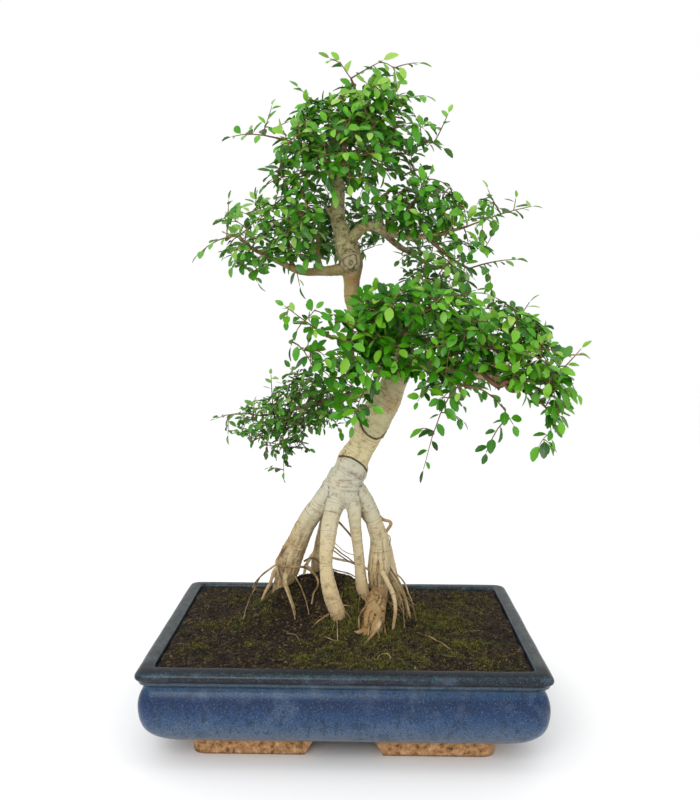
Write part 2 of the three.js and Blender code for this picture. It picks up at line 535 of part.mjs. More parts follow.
// The faces of a blade from the four corners of its root: upper right, upper left, lower right, lower left.
// first is the number of its first own point.
function bladeFaces(ur, ul, lr, ll, first) {
  const [a, b, tip, c, d, e, f] = [0, 1, 2, 3, 4, 5, 6].map((i) => first + i);
  const upper = [ur, a, d, a, b, c, a, c, d, b, tip, c];
  const lower = [lr, ll, f, lr, f, e, e, f, tip];
  const right = [ur, lr, a, lr, e, a, e, b, a, e, tip, b];
  const left = [ul, d, ll, ll, d, f, f, d, c, f, c, tip];
  const heel = ur === ul ? [] : [ur, d, ul];
  return [...upper, ...lower, ...right, ...left, ...heel];
}

// A shoot is one closed skin: a three-sided twig, each of whose leaves grows out of a short stretch of its side.
const TWIG_RADII = [0.6, 1.15, 0.85]; // its root lies inside what it springs from
const LEAF_ROOT = 1.3; // length of that stretch

function twigRadius(share) {
  const [root, middle, end] = TWIG_RADII;
  return share < 0.5 ? THREE.MathUtils.lerp(root, middle, 2 * share) : THREE.MathUtils.lerp(middle, end, 2 * share - 1);
}

function shootSolid(curve, leaves, grow = 0) {
  const half = LEAF_ROOT / 2 / curve.getLength();
  const sideLeaves = leaves.filter((leaf) => leaf.side);
  const shares = [0, ...sideLeaves.flatMap((leaf) => [leaf.share - half, leaf.share + half]), 1];
  if (sideLeaves.length === 0) shares.splice(1, 0, 0.5);
  const points = shares.flatMap((share) => {
    const at = curve.getPoint(share);
    const along = curve.getTangent(share);
    const right = along.clone().cross(lightAt(at)).normalize();
    const up = right.clone().cross(along);
    const radius = twigRadius(share) + grow;
    return [0, 1, 2].map((corner) => {
      const angle = (corner * 2 * Math.PI) / 3;
      return at.clone().addScaledVector(up, radius * Math.cos(angle)).addScaledVector(right, radius * Math.sin(angle));
    });
  });
  const rings = shares.length;
  const faces = [0, 2, 1];
  // The side between two rings that a leaf grows from, or -1.
  const leafSide = (ring) => {
    const leaf = sideLeaves[(ring - 1) / 2];
    return leaf === undefined ? -1 : leaf.side > 0 ? 0 : 2;
  };
  for (let ring = 0; ring < rings - 1; ring++) {
    for (let side = 0; side < 3; side++) {
      const a = ring * 3 + side;
      const b = ring * 3 + ((side + 1) % 3);
      if (leafSide(ring) !== side) {
        faces.push(a, b, b + 3, a, b + 3, a + 3);
      } else if (side === 0) {
        faces.push(...bladeFaces(a, a + 3, b, b + 3, points.length));
      } else {
        faces.push(...bladeFaces(b + 3, b, a + 3, a, points.length));
      }
      if (leafSide(ring) === side) points.push(...bladePoints(sideLeaves[(ring - 1) / 2]));
    }
  }
  const last = (rings - 1) * 3;
  const endLeaf = leaves.find((leaf) => !leaf.side);
  if (endLeaf) {
    faces.push(...bladeFaces(last, last, last + 1, last + 2, points.length));
    points.push(...bladePoints(endLeaf));
  } else {
    faces.push(last, last + 1, last + 2);
  }
  const geometry = new THREE.BufferGeometry().setFromPoints(points);
  geometry.setIndex(faces);
  return solidOf(geometry);
}

const STEM_ROOT = 2;
const STEM_END = 1.2;

function stemSolid(spray, grow) {
  const route = [spray.seat, ...spray.stem];
  const radii = route.map((_, i) => THREE.MathUtils.lerp(STEM_ROOT, STEM_END, i / (route.length - 1)));
  return limb(route, radii, 4, grow);
}

function meets(solid, others) {
  const a = solid.boundingBox();
  return others.some((other) => {
    const b = other.boundingBox();
    const apart = [0, 1, 2].some((k) => a.min[k] > b.max[k] || b.min[k] > a.max[k]);
    return !apart && other.intersect(solid).volume() > 0;
  });
}

// Grows one spray clear of the solids that are there already. A shoot or leaf that would cross them is left out,
// and so is a leaf that would cross another leaf or twig of the spray.
function spraySolid(spray, seed, wood, others) {
  const stem = stemSolid(spray, 0);
  const curves = shootsOf(spray, seed, SHOOTS_IN_PAD).filter(
    (curve) => !meets(shootSolid(curve, [], 2 * GAP), others) && !meets(shootSolid(curve, []), [wood]),
  );
  const bare = curves.map((curve) => shootSolid(curve, []));
  const taken = [];
  const shoots = curves.map((curve, i) => {
    const around = [wood, stem, ...others, ...bare.filter((twig, k) => k !== i)];
    const leaves = leavesOf(curve, spray, seed * 100 + i).filter((leaf) => {
      const room = bladeRoom(leaf, 2 * GAP);
      const free = !meets(room, [...around, ...taken]);
      if (free) taken.push(room);
      return free;
    });
    return shootSolid(curve, leaves);
  });
  return joined([stem, ...shoots]).subtract(wood);
}

// Assembly
const COLOURS = {
  pot: [0x35507f, 0.25],
  screen: [0x20241f, 0.7],
  soil: [0x3b3122, 0.95],
  wood: [0xb3a488, 0.75],
  leaves: [0x3f8a24, 0.45],
};

const model = new THREE.Group();

function place(name, solid, finish) {
  const [color, roughness] = COLOURS[finish];
  const material = new THREE.MeshStandardMaterial({ color, roughness, metalness: 0 });
  const mesh = new THREE.Mesh(geometryOf(solid), material);
  mesh.name = name;
  model.add(mesh);
}

const woodWithGap = woodSolid(GAP);
place("pot", potSolid(), "pot");
place("drain_screen_left", screenSolid(-1), "screen");
place("drain_screen_right", screenSolid(1), "screen");
place("soil", soilSolid().subtract(woodWithGap), "soil");
place("tree_wood", woodSolid(0), "wood");

const sprays = Object.entries(SPRAYS);
const stems = sprays.map(([, spray]) => stemSolid(spray, GAP));
const grown = [];
sprays.forEach(([name, spray], index) => {
  const otherStems = stems.filter((stem, k) => k !== index);
  const solid = spraySolid(spray, FIRST_SEED + index, woodWithGap, [...grown, ...otherStems]);
  grown.push(solid);
  place(`spray_${name}`, solid, "leaves");
});

// The object's frame: the bottom centre of its bounding box.
const bounds = new THREE.Box3().setFromObject(model);
const centre = bounds.getCenter(new THREE.Vector3());
model.position.set(-centre.x, -centre.y, -bounds.min.z);
const part = new THREE.Group();
part.add(model);

export default part;
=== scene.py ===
# A potted zelkova bonsai: a living tree on exposed roots, trained to an S with pads of small toothed leaves,
# standing in mossy potting soil in a stoneware tray that was pressed in a mould, glazed blue and fired on its
# bare clay feet. Lengths in the tables are millimetres from the middle of the pot's foot plane.
import math

import bmesh
import bpy
import numpy as np
from mathutils import Matrix, Vector, noise


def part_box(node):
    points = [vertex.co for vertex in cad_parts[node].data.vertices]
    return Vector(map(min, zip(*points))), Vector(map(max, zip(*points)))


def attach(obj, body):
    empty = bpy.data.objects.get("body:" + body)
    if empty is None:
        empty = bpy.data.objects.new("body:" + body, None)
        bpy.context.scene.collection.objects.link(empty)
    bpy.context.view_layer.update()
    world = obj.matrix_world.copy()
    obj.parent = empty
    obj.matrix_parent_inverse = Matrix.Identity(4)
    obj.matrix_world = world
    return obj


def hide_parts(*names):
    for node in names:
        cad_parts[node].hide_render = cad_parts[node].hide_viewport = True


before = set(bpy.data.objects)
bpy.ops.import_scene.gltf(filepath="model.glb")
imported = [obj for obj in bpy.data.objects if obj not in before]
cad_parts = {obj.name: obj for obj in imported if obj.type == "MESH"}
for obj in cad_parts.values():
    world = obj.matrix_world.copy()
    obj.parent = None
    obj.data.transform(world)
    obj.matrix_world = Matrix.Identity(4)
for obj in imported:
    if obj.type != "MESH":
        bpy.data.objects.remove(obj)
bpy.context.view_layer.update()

# Camera: it stands in front of the tree at the photograph's viewing angle, a little above the pot.
# The pot's middle is left of the frame's origin, because the tree leans out to the right.
MM = 0.001
pot_low, pot_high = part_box("pot")
POT_X = (pot_low[0] + pot_high[0]) / 2
camera_data = bpy.data.cameras.new("camera")
camera_data.lens = 39.48
camera_data.sensor_width = 36
camera = bpy.data.objects.new("camera", camera_data)
camera.location = (POT_X + 0.0099, -0.9818, 0.4486)
camera.rotation_euler = [math.radians(angle) for angle in (84.70977, -0.52774, 0.49887)]
bpy.context.scene.collection.objects.link(camera)
bpy.context.scene.camera = camera

# Pot: one stoneware tray with its four L-shaped feet, pressed in a mould and fired as one piece.
# Each line of the profile is height, inset from the rim's edge and corner radius, from the underside
# up the bulging wall, over the rim and down the inside.
POT_HALF_X, POT_HALF_Y, POT_HEIGHT = 207.5, 154, 102
FOOT_HEIGHT, POT_FLOOR, WALL = 21, 31, 18
FLAT_BORDER = 12  # an edge loop this far inside the flat floor keeps it flat when it is smoothed
POT_PROFILE = [
    [21, 35, 26], [22.2, 26.5, 25.5], [25, 17.8, 24], [30, 10.6, 21.5], [37, 5.4, 18], [46, 2.6, 16.4],
    [56, 1.3, 15], [66, 1.2, 14], [74, 3, 13], [79, 5.4, 11.6], [81.5, 6.8, 11], [84.8, 7, 11],
    [86, 5.2, 11], [87.2, 3.4, 10], [90.6, 2.9, 10], [91.8, 1.5, 10], [93.4, 0.2, 10], [95.6, 0, 10],
    [97.8, 0.7, 10], [99.6, 2.2, 9.6], [101, 4.8, 9], [101.8, 8.4, 8], [102, 12, 7], [101.6, 16, 7],
    [99.6, 18, 7], [60, 18, 8], [36, 21, 9], [31, 27, 9],
]


def pick(obj=None):
    """Leaves only obj selected and active, or nothing."""
    bpy.ops.object.select_all(action="DESELECT")
    if obj:
        obj.select_set(True)
        bpy.context.view_layer.objects.active = obj


def apply_modifier(obj, kind, **settings):
    pick(obj)
    modifier = obj.modifiers.new(kind.lower(), kind)
    for key, value in settings.items():
        setattr(modifier, key, value)
    bpy.ops.object.modifier_apply(modifier=modifier.name)


def settle(obj, name):
    """Names a piece and puts its place into its mesh."""
    pick(obj)
    bpy.ops.object.transform_apply(location=True, rotation=True, scale=True)
    obj.name = obj.data.name = name


def choose(parts, wanted):
    """Selects only those points, edges or faces of the mesh in edit mode that are wanted."""
    bpy.ops.mesh.select_all(action="DESELECT")
    for part in getattr(bmesh.from_edit_mesh(bpy.context.object.data), parts):
        part.select_set(wanted(part))


def extrude(rise):
    """Extrudes what is selected straight up by so many mm."""
    bpy.ops.mesh.extrude_region_move(TRANSFORM_OT_translate={"value": (0, 0, rise * MM)})


def widen(x, y):
    """Scales what is selected sideways about the pot's middle."""
    bpy.ops.transform.resize(value=(x, y, 1), center_override=(POT_X, 0, 0))


def close_edit():
    """Turns all faces outwards and leaves edit mode."""
    bpy.ops.mesh.select_all(action="SELECT")
    bpy.ops.mesh.normals_make_consistent(inside=False)
    bpy.ops.object.mode_set(mode="OBJECT")


def onto_outline(vertex, old, new):
    """Moves a point of the old rounded rectangle, which was scaled to the new size, onto the new one."""
    across = abs(vertex.co.x - POT_X) / MM * old[0] / new[0]
    deep = abs(vertex.co.y) / MM * old[1] / new[1]
    side_x = 1 if vertex.co.x > POT_X else -1
    side_y = 1 if vertex.co.y > 0 else -1
    straight_x, straight_y = old[0] - old[2], old[1] - old[2]
    if across > straight_x - 0.01 and deep > straight_y - 0.01:
        turn = math.atan2(max(deep - straight_y, 0), max(across - straight_x, 0))
        x = new[0] - new[2] + new[2] * math.cos(turn)
        y = new[1] - new[2] + new[2] * math.sin(turn)
    elif across > straight_x:
        x, y = new[0], deep * (new[1] - new[2]) / straight_y
    else:
        x, y = across * (new[0] - new[2]) / straight_x, new[1]
    vertex.co.x, vertex.co.y = POT_X + side_x * x * MM, side_y * y * MM


pick()
level, inset, corner = POT_PROFILE[0]
outline = (POT_HALF_X - inset, POT_HALF_Y - inset, corner)
bpy.ops.mesh.primitive_plane_add(size=1, location=(POT_X, 0, level * MM))
pot = bpy.context.object
settle(pot, "tray_pot")
bpy.ops.object.mode_set(mode="EDIT")
widen(2 * outline[0] * MM, 2 * outline[1] * MM)
bpy.ops.mesh.bevel(offset=corner * MM, segments=5, affect="VERTICES")
bpy.ops.mesh.delete(type="ONLY_FACE")
choose("edges", lambda edge: edge.calc_length() > 50 * MM)  # the four straight sides
bpy.ops.mesh.subdivide(number_cuts=8)
bpy.ops.mesh.select_all(action="SELECT")
for z, inset, corner in POT_PROFILE[1:]:
    wider = (POT_HALF_X - inset, POT_HALF_Y - inset, corner)
    extrude(z - level)
    widen(wider[0] / outline[0], wider[1] / outline[1])
    for vertex in bmesh.from_edit_mesh(pot.data).verts:
        if vertex.select:
            onto_outline(vertex, outline, wider)
    level, outline = z, wider
bpy.ops.mesh.edge_face_add()
bpy.ops.mesh.inset(thickness=FLAT_BORDER * MM)
choose("verts", lambda vertex: vertex.co.z < (FOOT_HEIGHT + 0.1) * MM)
bmesh.from_edit_mesh(pot.data).select_flush(True)
bpy.ops.mesh.edge_face_add()
bpy.ops.mesh.inset(thickness=FLAT_BORDER * MM)
close_edit()
apply_modifier(pot, "SUBSURF", levels=2, render_levels=2)

# The feet are one ring of clay, cut through on all four sides. The gaps narrow towards the top.
FOOT_RING_HALF_X, FOOT_RING_HALF_Y, FOOT_WIDTH, FOOT_CORNER = 157, 114, 21, 14
GAP_HALF_LOW, GAP_HALF_HIGH = 41.6, 28
pick()
bpy.ops.mesh.primitive_plane_add(size=1, location=(POT_X, 0, 0))
feet = bpy.context.object
settle(feet, "feet")
bpy.ops.object.mode_set(mode="EDIT")
widen(2 * FOOT_RING_HALF_X * MM, 2 * FOOT_RING_HALF_Y * MM)
bpy.ops.mesh.bevel(offset=FOOT_CORNER * MM, segments=6, affect="VERTICES")
bpy.ops.mesh.inset(thickness=FOOT_WIDTH * MM)
bpy.ops.mesh.delete(type="FACE")
bpy.ops.mesh.select_all(action="SELECT")
extrude(FOOT_HEIGHT + 3)  # 3 mm into the pot's underside
close_edit()
for axis in (0, 1):
    pick()
    bpy.ops.mesh.primitive_cube_add(size=1, location=(POT_X, 0, (FOOT_HEIGHT - 1) / 2 * MM))
    cutter = bpy.context.object
    wide, long = 2 * GAP_HALF_LOW * MM, 2 * POT_HALF_X * MM
    cutter.scale = (wide if axis else long, long if axis else wide, (FOOT_HEIGHT + 1) * MM)
    settle(cutter, "cutter")
    bpy.ops.object.mode_set(mode="EDIT")
    choose("faces", lambda face: face.normal.z > 0.9)
    narrow = GAP_HALF_HIGH / GAP_HALF_LOW
    widen(narrow if axis else 1, 1 if axis else narrow)
    bpy.ops.object.mode_set(mode="OBJECT")
    apply_modifier(feet, "BOOLEAN", object=cutter, operation="DIFFERENCE", solver="EXACT")
    bpy.data.objects.remove(cutter)
apply_modifier(feet, "BEVEL", width=1.6 * MM, segments=2, limit_method="ANGLE", angle_limit=math.radians(40))
apply_modifier(pot, "BOOLEAN", object=feet, operation="UNION", solver="MANIFOLD")
bpy.data.objects.remove(feet)

# Two drain holes go through the floor, which is 21 mm to 31 mm above the ground.
DRAIN_RADIUS, DRAIN_X = 11, 82
for side in (-1, 1):
    pick()
    middle = (POT_X + side * DRAIN_X * MM, 0, 26 * MM)
    bpy.ops.mesh.primitive_cylinder_add(vertices=40, radius=DRAIN_RADIUS * MM, depth=40 * MM, location=middle)
    drill = bpy.context.object
    apply_modifier(pot, "BOOLEAN", object=drill, operation="DIFFERENCE", solver="MANIFOLD")
    bpy.data.objects.remove(drill)


def points_of(obj):
    """A mesh's points and the directions its surface faces there, as two arrays in metres."""
    places, facings = np.empty(len(obj.data.vertices) * 3), np.empty(len(obj.data.vertices) * 3)
    obj.data.vertices.foreach_get("co", places)
    obj.data.vertices.foreach_get("normal", facings)
    return places.reshape(-1, 3), facings.reshape(-1, 3)


def move_points(obj, places):
    obj.data.vertices.foreach_set("co", places.ravel())
    obj.data.update()


# The walls waver a little above the feet, as pressed clay does.
places, facings = points_of(pot)
waver = np.array([noise.noise(Vector(p) * 22) * 0.5 + noise.noise(Vector(p) * 70) * 0.12 for p in places])
waver *= np.clip((places[:, 2] / MM - 23) / 8, 0, 1) * MM
move_points(pot, places + facings * waver[:, None])
pick(pot)
bpy.ops.object.shade_smooth_by_angle(angle=math.radians(38))


def colour(text):
    """A colour given as sRGB hex, turned to linear light."""
    parts = [int(text[i : i + 2], 16) / 255 for i in (1, 3, 5)]
    return [p / 12.92 if p <= 0.04045 else ((p + 0.055) / 1.055) ** 2.4 for p in parts] + [1]


def start(name):
    """Makes a material and returns it with its node tree and its surface shader."""
    made = bpy.data.materials.new(name)
    made.use_nodes = True
    return made, made.node_tree, made.node_tree.nodes["Principled BSDF"]


def fill(node, settings, links):
    """Sets a shader node's properties and inputs, and links its inputs to other nodes' outputs."""
    for key, value in settings.items():
        if key == "stops":
            ramp = node.color_ramp
            ramp.elements.remove(ramp.elements[1])
            ramp.elements[0].position, ramp.elements[0].color = value[0][0], colour(value[0][1])
            for place, shade in value[1:]:
                ramp.elements.new(place).color = colour(shade)
        elif isinstance(key, str) and hasattr(node, key):
            setattr(node, key, value)
        else:
            node.inputs[key].default_value = colour(value) if isinstance(value, str) else value
    for key, source in links.items():
        tree.links.new(source, node.inputs[key])


def add(kind, settings=None, links=None, out=0):
    """Adds a shader node to the material at hand, and returns one of its outputs, or all if out is None."""
    made = tree.nodes.new("ShaderNode" + kind)
    fill(made, settings or {}, links or {})
    return made.outputs if out is None else made.outputs[out]


def layered(base, tint, source, low, high, most=1.0, mask=None):
    """Lays a tint over a colour, from none where the source is low to the most where it is high."""
    share = add("MapRange", {"From Min": low, "From Max": high, "To Max": most}, {0: source})
    if mask:
        share = add("Math", {"operation": "MULTIPLY"}, {0: share, 1: mask})
    return add("Mix", {"data_type": "RGBA", 7: tint}, {0: share, 6: base}, out=2)


# Material: stoneware under a blue reduction glaze, smooth but not mirror bright. It breaks dark brown on the
# rim's band, is brightest under the neck, deep blue on the belly and milky towards the foot, with fine iron
# specks. Below it the clay is bare, sandy and orange.
glaze, tree, shader = start("blue_glazed_stoneware")
place = add("TexCoord", out="Object")
_, across, height = add("SeparateXYZ", links={0: place}, out=None)
drift = add("TexNoise", {"Scale": 38.0, "Detail": 3.0}, {"Vector": place})
RUN = 0.9 * MM  # how far the glaze's edges run up or down
run = add("MapRange", {"From Min": 0.25, "From Max": 0.75, "To Min": -RUN, "To Max": RUN}, {0: drift})
wavy = add("Math", {"operation": "ADD"}, {0: height, 1: run})
share = add("MapRange", {"From Max": POT_HEIGHT * MM}, {0: wavy})
# The dark band from 20 mm to 22 mm, on the body's bare lower edge over the feet, is painted shadow where the
# feet meet the body.
bands = [
    (0, "#b98d5c"), (17.5, "#c4935e"), (20.6, "#2d221a"), (22.5, "#343742"), (25, "#4c5564"),
    (31, "#57616f"), (39, "#495a70"), (50, "#30496a"), (60, "#17365c"), (68, "#08274d"), (75, "#04264d"),
    (80, "#123a5e"), (82.4, "#1f425f"), (84, "#1b3044"), (86.4, "#2d3e50"), (89, "#3a4853"),
    (91.2, "#12181e"), (92.6, "#0a080b"), (95.4, "#0e0d12"), (97.4, "#0c141b"), (99.5, "#0d1b20"),
    (102, "#101e24"),
]
body = add("ValToRGB", {"stops": [(z / POT_HEIGHT, shade) for z, shade in bands]}, {0: share})
# Milky, teal and deep blue clouds, 4 mm to 20 mm across, run down the wall a little.
stretched = add("VectorMath", {"operation": "MULTIPLY", 1: (1, 1, 0.6)}, {0: place})
cloud = add("TexNoise", {"Scale": 120.0, "Detail": 6.0, "Roughness": 0.66}, {"Vector": stretched})
lip = add("MapRange", {"From Min": 0.0955, "From Max": 0.0985}, {0: wavy})
body = layered(body, "#22545f", cloud, 0.46, 0.66, 0.62, lip)
body = layered(body, "#5d6c80", drift, 0.52, 0.7, 0.34)
body = layered(body, "#0b1a30", cloud, 0.5, 0.36, 0.5)
# The rim's flat top is matt and grey, darker over its left end, but the front is still dark.
facing = add("SeparateXYZ", links={0: add("NewGeometry", out="Normal")}, out=2)
top = add("MapRange", {"From Min": 0.8, "From Max": 0.97}, {0: facing})
high = add("MapRange", {"From Min": 0.098, "From Max": 0.1}, {0: height})
top = add("Math", {"operation": "MULTIPLY"}, {0: top, 1: high})
rim_top_tint = add("ValToRGB", {"stops": [(0.35, "#272c2c"), (0.5, "#3a3f3e"), (0.65, "#4e524e")]}, {0: cloud})
rim_top_tint = layered(rim_top_tint, "#070c10", across, -0.118, -0.132)
body = add("Mix", {"data_type": "RGBA"}, {0: top, 6: body, 7: rim_top_tint}, out=2)
# Fine grain of about 1 mm: iron specks and pale crystals.
grit = add("TexNoise", {"Scale": 680.0, "Detail": 4.0, "Roughness": 0.7}, {"Vector": place})
body = layered(body, "#0c121d", grit, 0.53, 0.64, 0.85)
body = layered(body, "#6f86a0", grit, 0.45, 0.33, 0.36)
# The bare clay of the feet is sandy, with dark burnt blotches, and darker along its lowest 2 mm.
clay = add("TexNoise", {"Scale": 150.0, "Detail": 6.0, "Roughness": 0.7}, {"Vector": place})
sandy = [(0.32, "#2f2117"), (0.39, "#765638"), (0.46, "#a87c51"), (0.56, "#c09366"), (0.7, "#e0be94")]
clay_tint = layered(add("ValToRGB", {"stops": sandy}, {0: clay}), "#3a2c1e", height, 0.0022, 0.0, 0.7)
bare = add("MapRange", {"From Min": 0.0206, "From Max": 0.0196}, {0: wavy})
body = add("Mix", {"data_type": "RGBA"}, {0: bare, 6: body, 7: clay_tint}, out=2)
gloss = add("MapRange", {"To Min": 0.3, "To Max": 0.85}, {0: bare})
rough = add("Mix", {"data_type": "FLOAT", 3: 0.55}, {0: top, 2: gloss})
swell = add("Bump", {"Strength": 0.35, "Distance": 0.4 * MM}, {"Height": cloud})
swell = add("Bump", {"Strength": 0.25, "Distance": 0.15 * MM}, {"Height": grit, "Normal": swell})
fill(shader, {"Specular IOR Level": 0.32}, {"Base Color": body, "Roughness": rough, "Normal": swell})
pot.data.materials.clear()
pot.data.materials.append(glaze)
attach(pot, "root")
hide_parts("pot")

# Drain screens: two squares cut from black plastic mesh, laid over the drain holes before the soil goes in.
# The mesh is welded from round strands, 3 mm apart. Dust of soil in patches of about 4 mm dulls the black.
SCREEN_SIZE, SCREEN_CELLS, SCREEN_STRAND = 42, 14, 1.1
screen_material, tree, shader = start("black_plastic_mesh")
dust = add("TexNoise", {"Scale": 240.0, "Detail": 3.0}, {"Vector": add("TexCoord", out="Object")})
dusty = add("ValToRGB", {"stops": [(0.45, "#1b1d1b"), (0.75, "#3a3228")]}, {0: dust})
fill(shader, {"Roughness": 0.6}, {"Base Color": dusty})
for side, name in ((-1, "left"), (1, "right")):
    pick()
    middle = (POT_X + side * DRAIN_X * MM, 0, (POT_FLOOR + 1.15) * MM)
    bpy.ops.mesh.primitive_grid_add(
        x_subdivisions=SCREEN_CELLS, y_subdivisions=SCREEN_CELLS, size=SCREEN_SIZE * MM, location=middle
    )
    screen = bpy.context.object
    apply_modifier(screen, "WIREFRAME", thickness=SCREEN_STRAND * MM, use_replace=True, use_boundary=True)
    settle(screen, "mesh_over_drain_" + name)
    screen.data.materials.append(screen_material)
    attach(screen, "root")
    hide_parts("drain_screen_" + name)

# Soil: damp potting soil of loam, grit and leaf mould, filled in by hand, level along the walls and heaped
# round the roots. A mound is its middle, its height and its reach along X and Y.
SOIL_LEVEL, SOIL_CORNER = 97.5, 8
MOUNDS = [
    [-18, 44, 48, 58, 46], [-68, 36, 14, 30, 34], [12, 10, 14, 30, 24], [-6, -26, 9, 34, 26],
    [120, 20, 4, 50, 60], [-92, 18, 12, 22, 18], [6, -22, 6, 16, 14],
]
# Moss grows where water collects. A patch is its middle, its reach along X and Y, and how thick it grows.
MOSS_PATCHES = [
    [20, 0, 34, 40, 1.0], [34, -52, 40, 32, 1.0], [-4, -34, 26, 24, 1.0], [-8, -62, 34, 26, 0.85],
    [-22, -102, 40, 22, 0.8], [30, -112, 46, 20, 0.9], [92, 6, 52, 48, 0.9], [116, -62, 42, 40, 0.75],
    [66, -92, 34, 26, 0.8], [150, -110, 30, 20, 0.45], [-134, -8, 34, 22, 0.6], [-96, 14, 30, 24, 0.45],
    [-110, 80, 44, 36, 0.35], [30, 90, 70, 30, 0.5], [140, 84, 44, 36, 0.5], [-60, 110, 50, 20, 0.4],
    [-160, -70, 18, 50, 0.3], [-96, -66, 16, 12, 0.5],
]


def ripple(x, y, fineness, layer):
    """Smooth noise over the ground. Each layer is another pattern."""
    return noise.noise(Vector((x * fineness, y * fineness, layer)))


def bulge(x, y, middle_x, middle_y, reach_x, reach_y):
    """A round hump over the ground: 1 at its middle, and falling to nothing past its reach."""
    return math.exp(-(((x - middle_x) / reach_x) ** 2) - ((y - middle_y) / reach_y) ** 2)


def soil_height(x, y):
    """The soil's level in mm at a place, without its crumb."""
    z = SOIL_LEVEL + 1.2 * math.sin(x * 0.071 + 1) * math.cos(y * 0.083) + 0.8 * math.sin(x * 0.19 + y * 0.13)
    for mx, my, high, rx, ry in MOUNDS:
        z += high * bulge(x, y, mx, my, rx, ry)
    return z


def mossy(x, y):
    """How thick the moss grows at a place, from 0 to 1."""
    most = max(thick * bulge(x, y, mx, my, rx, ry) for mx, my, rx, ry, thick in MOSS_PATCHES)
    broken = 0.5 + 0.9 * ripple(x, y, 0.06, 3) + 0.5 * ripple(x, y, 0.2, 7)
    return min(max(1.5 * most * broken + 0.15 * (broken - 0.5), 0), 1)


def crumbly(x, y):
    """The soil's level in mm with its lumps and crumb, which are lower along the walls."""
    lumps = 1.9 * ripple(x, y, 0.06, 0) + 1.9 * ripple(x, y, 0.17, 5)
    crumb = 1.5 * ripple(x, y, 0.42, 9) + 0.8 * ripple(x, y, 0.9, 2)
    edge = max(abs(x) - 170, abs(y) - 120, 0) / 17
    return soil_height(x, y) + (lumps + crumb) * (1 - 0.5 * min(edge, 1)) + 1.2 * mossy(x, y)


pick()
soil_half_x, soil_half_y = POT_HALF_X - WALL - 0.4, POT_HALF_Y - WALL - 0.4
middle = (POT_X, 0, SOIL_LEVEL * MM)
bpy.ops.mesh.primitive_grid_add(x_subdivisions=232, y_subdivisions=168, size=2, location=middle)
soil = bpy.context.object
soil.scale = (soil_half_x * MM, soil_half_y * MM, 1)
settle(soil, "potting_soil")
bpy.ops.object.mode_set(mode="EDIT")
bpy.ops.mesh.select_all(action="DESELECT")
bpy.ops.mesh.select_mode(type="EDGE")
choose("edges", lambda edge: edge.is_boundary)
for drop, inset in ((35, 0.2), (20, 3), (4.6, 4)):
    extrude(-drop)
    widen((soil_half_x - inset) / soil_half_x, (soil_half_y - inset) / soil_half_y)
bpy.ops.mesh.edge_face_add()
bpy.ops.mesh.select_mode(type="VERT")
close_edit()
moss_share = np.zeros(len(soil.data.vertices))
for i, vertex in enumerate(soil.data.vertices):
    x, y = (vertex.co.x - POT_X) / MM, vertex.co.y / MM
    past_x, past_y = abs(x) - (soil_half_x - SOIL_CORNER), abs(y) - (soil_half_y - SOIL_CORNER)
    if past_x > 0 and past_y > 0 and math.hypot(past_x, past_y) > SOIL_CORNER:
        pull = SOIL_CORNER / math.hypot(past_x, past_y)
        x = math.copysign(soil_half_x - SOIL_CORNER + past_x * pull, x)
        y = math.copysign(soil_half_y - SOIL_CORNER + past_y * pull, y)
        vertex.co.x, vertex.co.y = POT_X + x * MM, y * MM
    if vertex.co.z > 90 * MM:  # the top, not the sides
        vertex.co.z = crumbly(x, y) * MM
        moss_share[i] = mossy(x, y)


def mark(obj, name, values, domain="POINT"):
    """Keeps a number for each point or face of a mesh, for its material to read."""
    made = obj.data.attributes.new(name, "FLOAT", domain)
    made.data.foreach_set("value", np.asarray(values, dtype=np.float32))


mark(soil, "moss", moss_share)
pick(soil)
bpy.ops.object.shade_smooth_by_angle(angle=math.radians(60))

# Material: damp loam with sand, bark and leaf mould in it. Dark brown crumbs of 2 mm to 5 mm, some straw
# coloured bits, green where the moss has a hold, and no shine.
loam, tree, shader = start("damp_potting_loam")
place = add("TexCoord", out="Object")
crumb = add("TexVoronoi", {"Scale": 430.0}, {"Vector": place}, out=None)
shade = add("SeparateColor", links={0: crumb["Color"]})
browns = [
    (0, "#120d08"), (0.4, "#261b12"), (0.68, "#3d2e1d"), (0.87, "#50402a"), (0.97, "#665336"), (1, "#8d7850"),
]
brown = add("ValToRGB", {"stops": browns}, {0: shade})
patch = add("TexNoise", {"Scale": 60.0, "Detail": 6.0}, {"Vector": place})
brown = layered(brown, "#150f09", patch, 0.62, 0.38, 0.75)
film = add("TexNoise", {"Scale": 420.0, "Detail": 4.0}, {"Vector": place})
film = add("MapRange", {"From Min": 0.35, "From Max": 0.6}, {0: film})
moss_here = add("Attribute", {"attribute_name": "moss"}, out="Fac")
film = add("Math", {"operation": "MULTIPLY"}, {0: film, 1: moss_here})
greens = add("ValToRGB", {"stops": [(0, "#2b2d0e"), (0.5, "#4f4f17"), (1, "#7c7528")]}, {0: shade})
brown = add("Mix", {"data_type": "RGBA"}, {0: film, 6: brown, 7: greens}, out=2)
pits = add("TexNoise", {"Scale": 230.0, "Detail": 5.0, "Roughness": 0.7}, {"Vector": place})
brown = layered(brown, "#0a0703", pits, 0.52, 0.38, 0.9)
rubble = add("Bump", {"Strength": 0.7, "Distance": 0.9 * MM}, {"Height": crumb["Distance"]})
rubble = add("Bump", {"Strength": 0.6, "Distance": 1.2 * MM}, {"Height": patch, "Normal": rubble})
fill(shader, {"Roughness": 0.95, "Specular IOR Level": 0.25}, {"Base Color": brown, "Normal": rubble})
soil.data.materials.append(loam)
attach(soil, "root")
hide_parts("soil")

# Crumbs, chips and moss: grit and bark crumbs lie loose on the soil, with fibres of dead root, and moss grows
# over them in low cushions. The crumbs are 1 mm to 4 mm across, and a shoot of moss is 2 mm to 5 mm tall.
draw = np.random.default_rng(7)


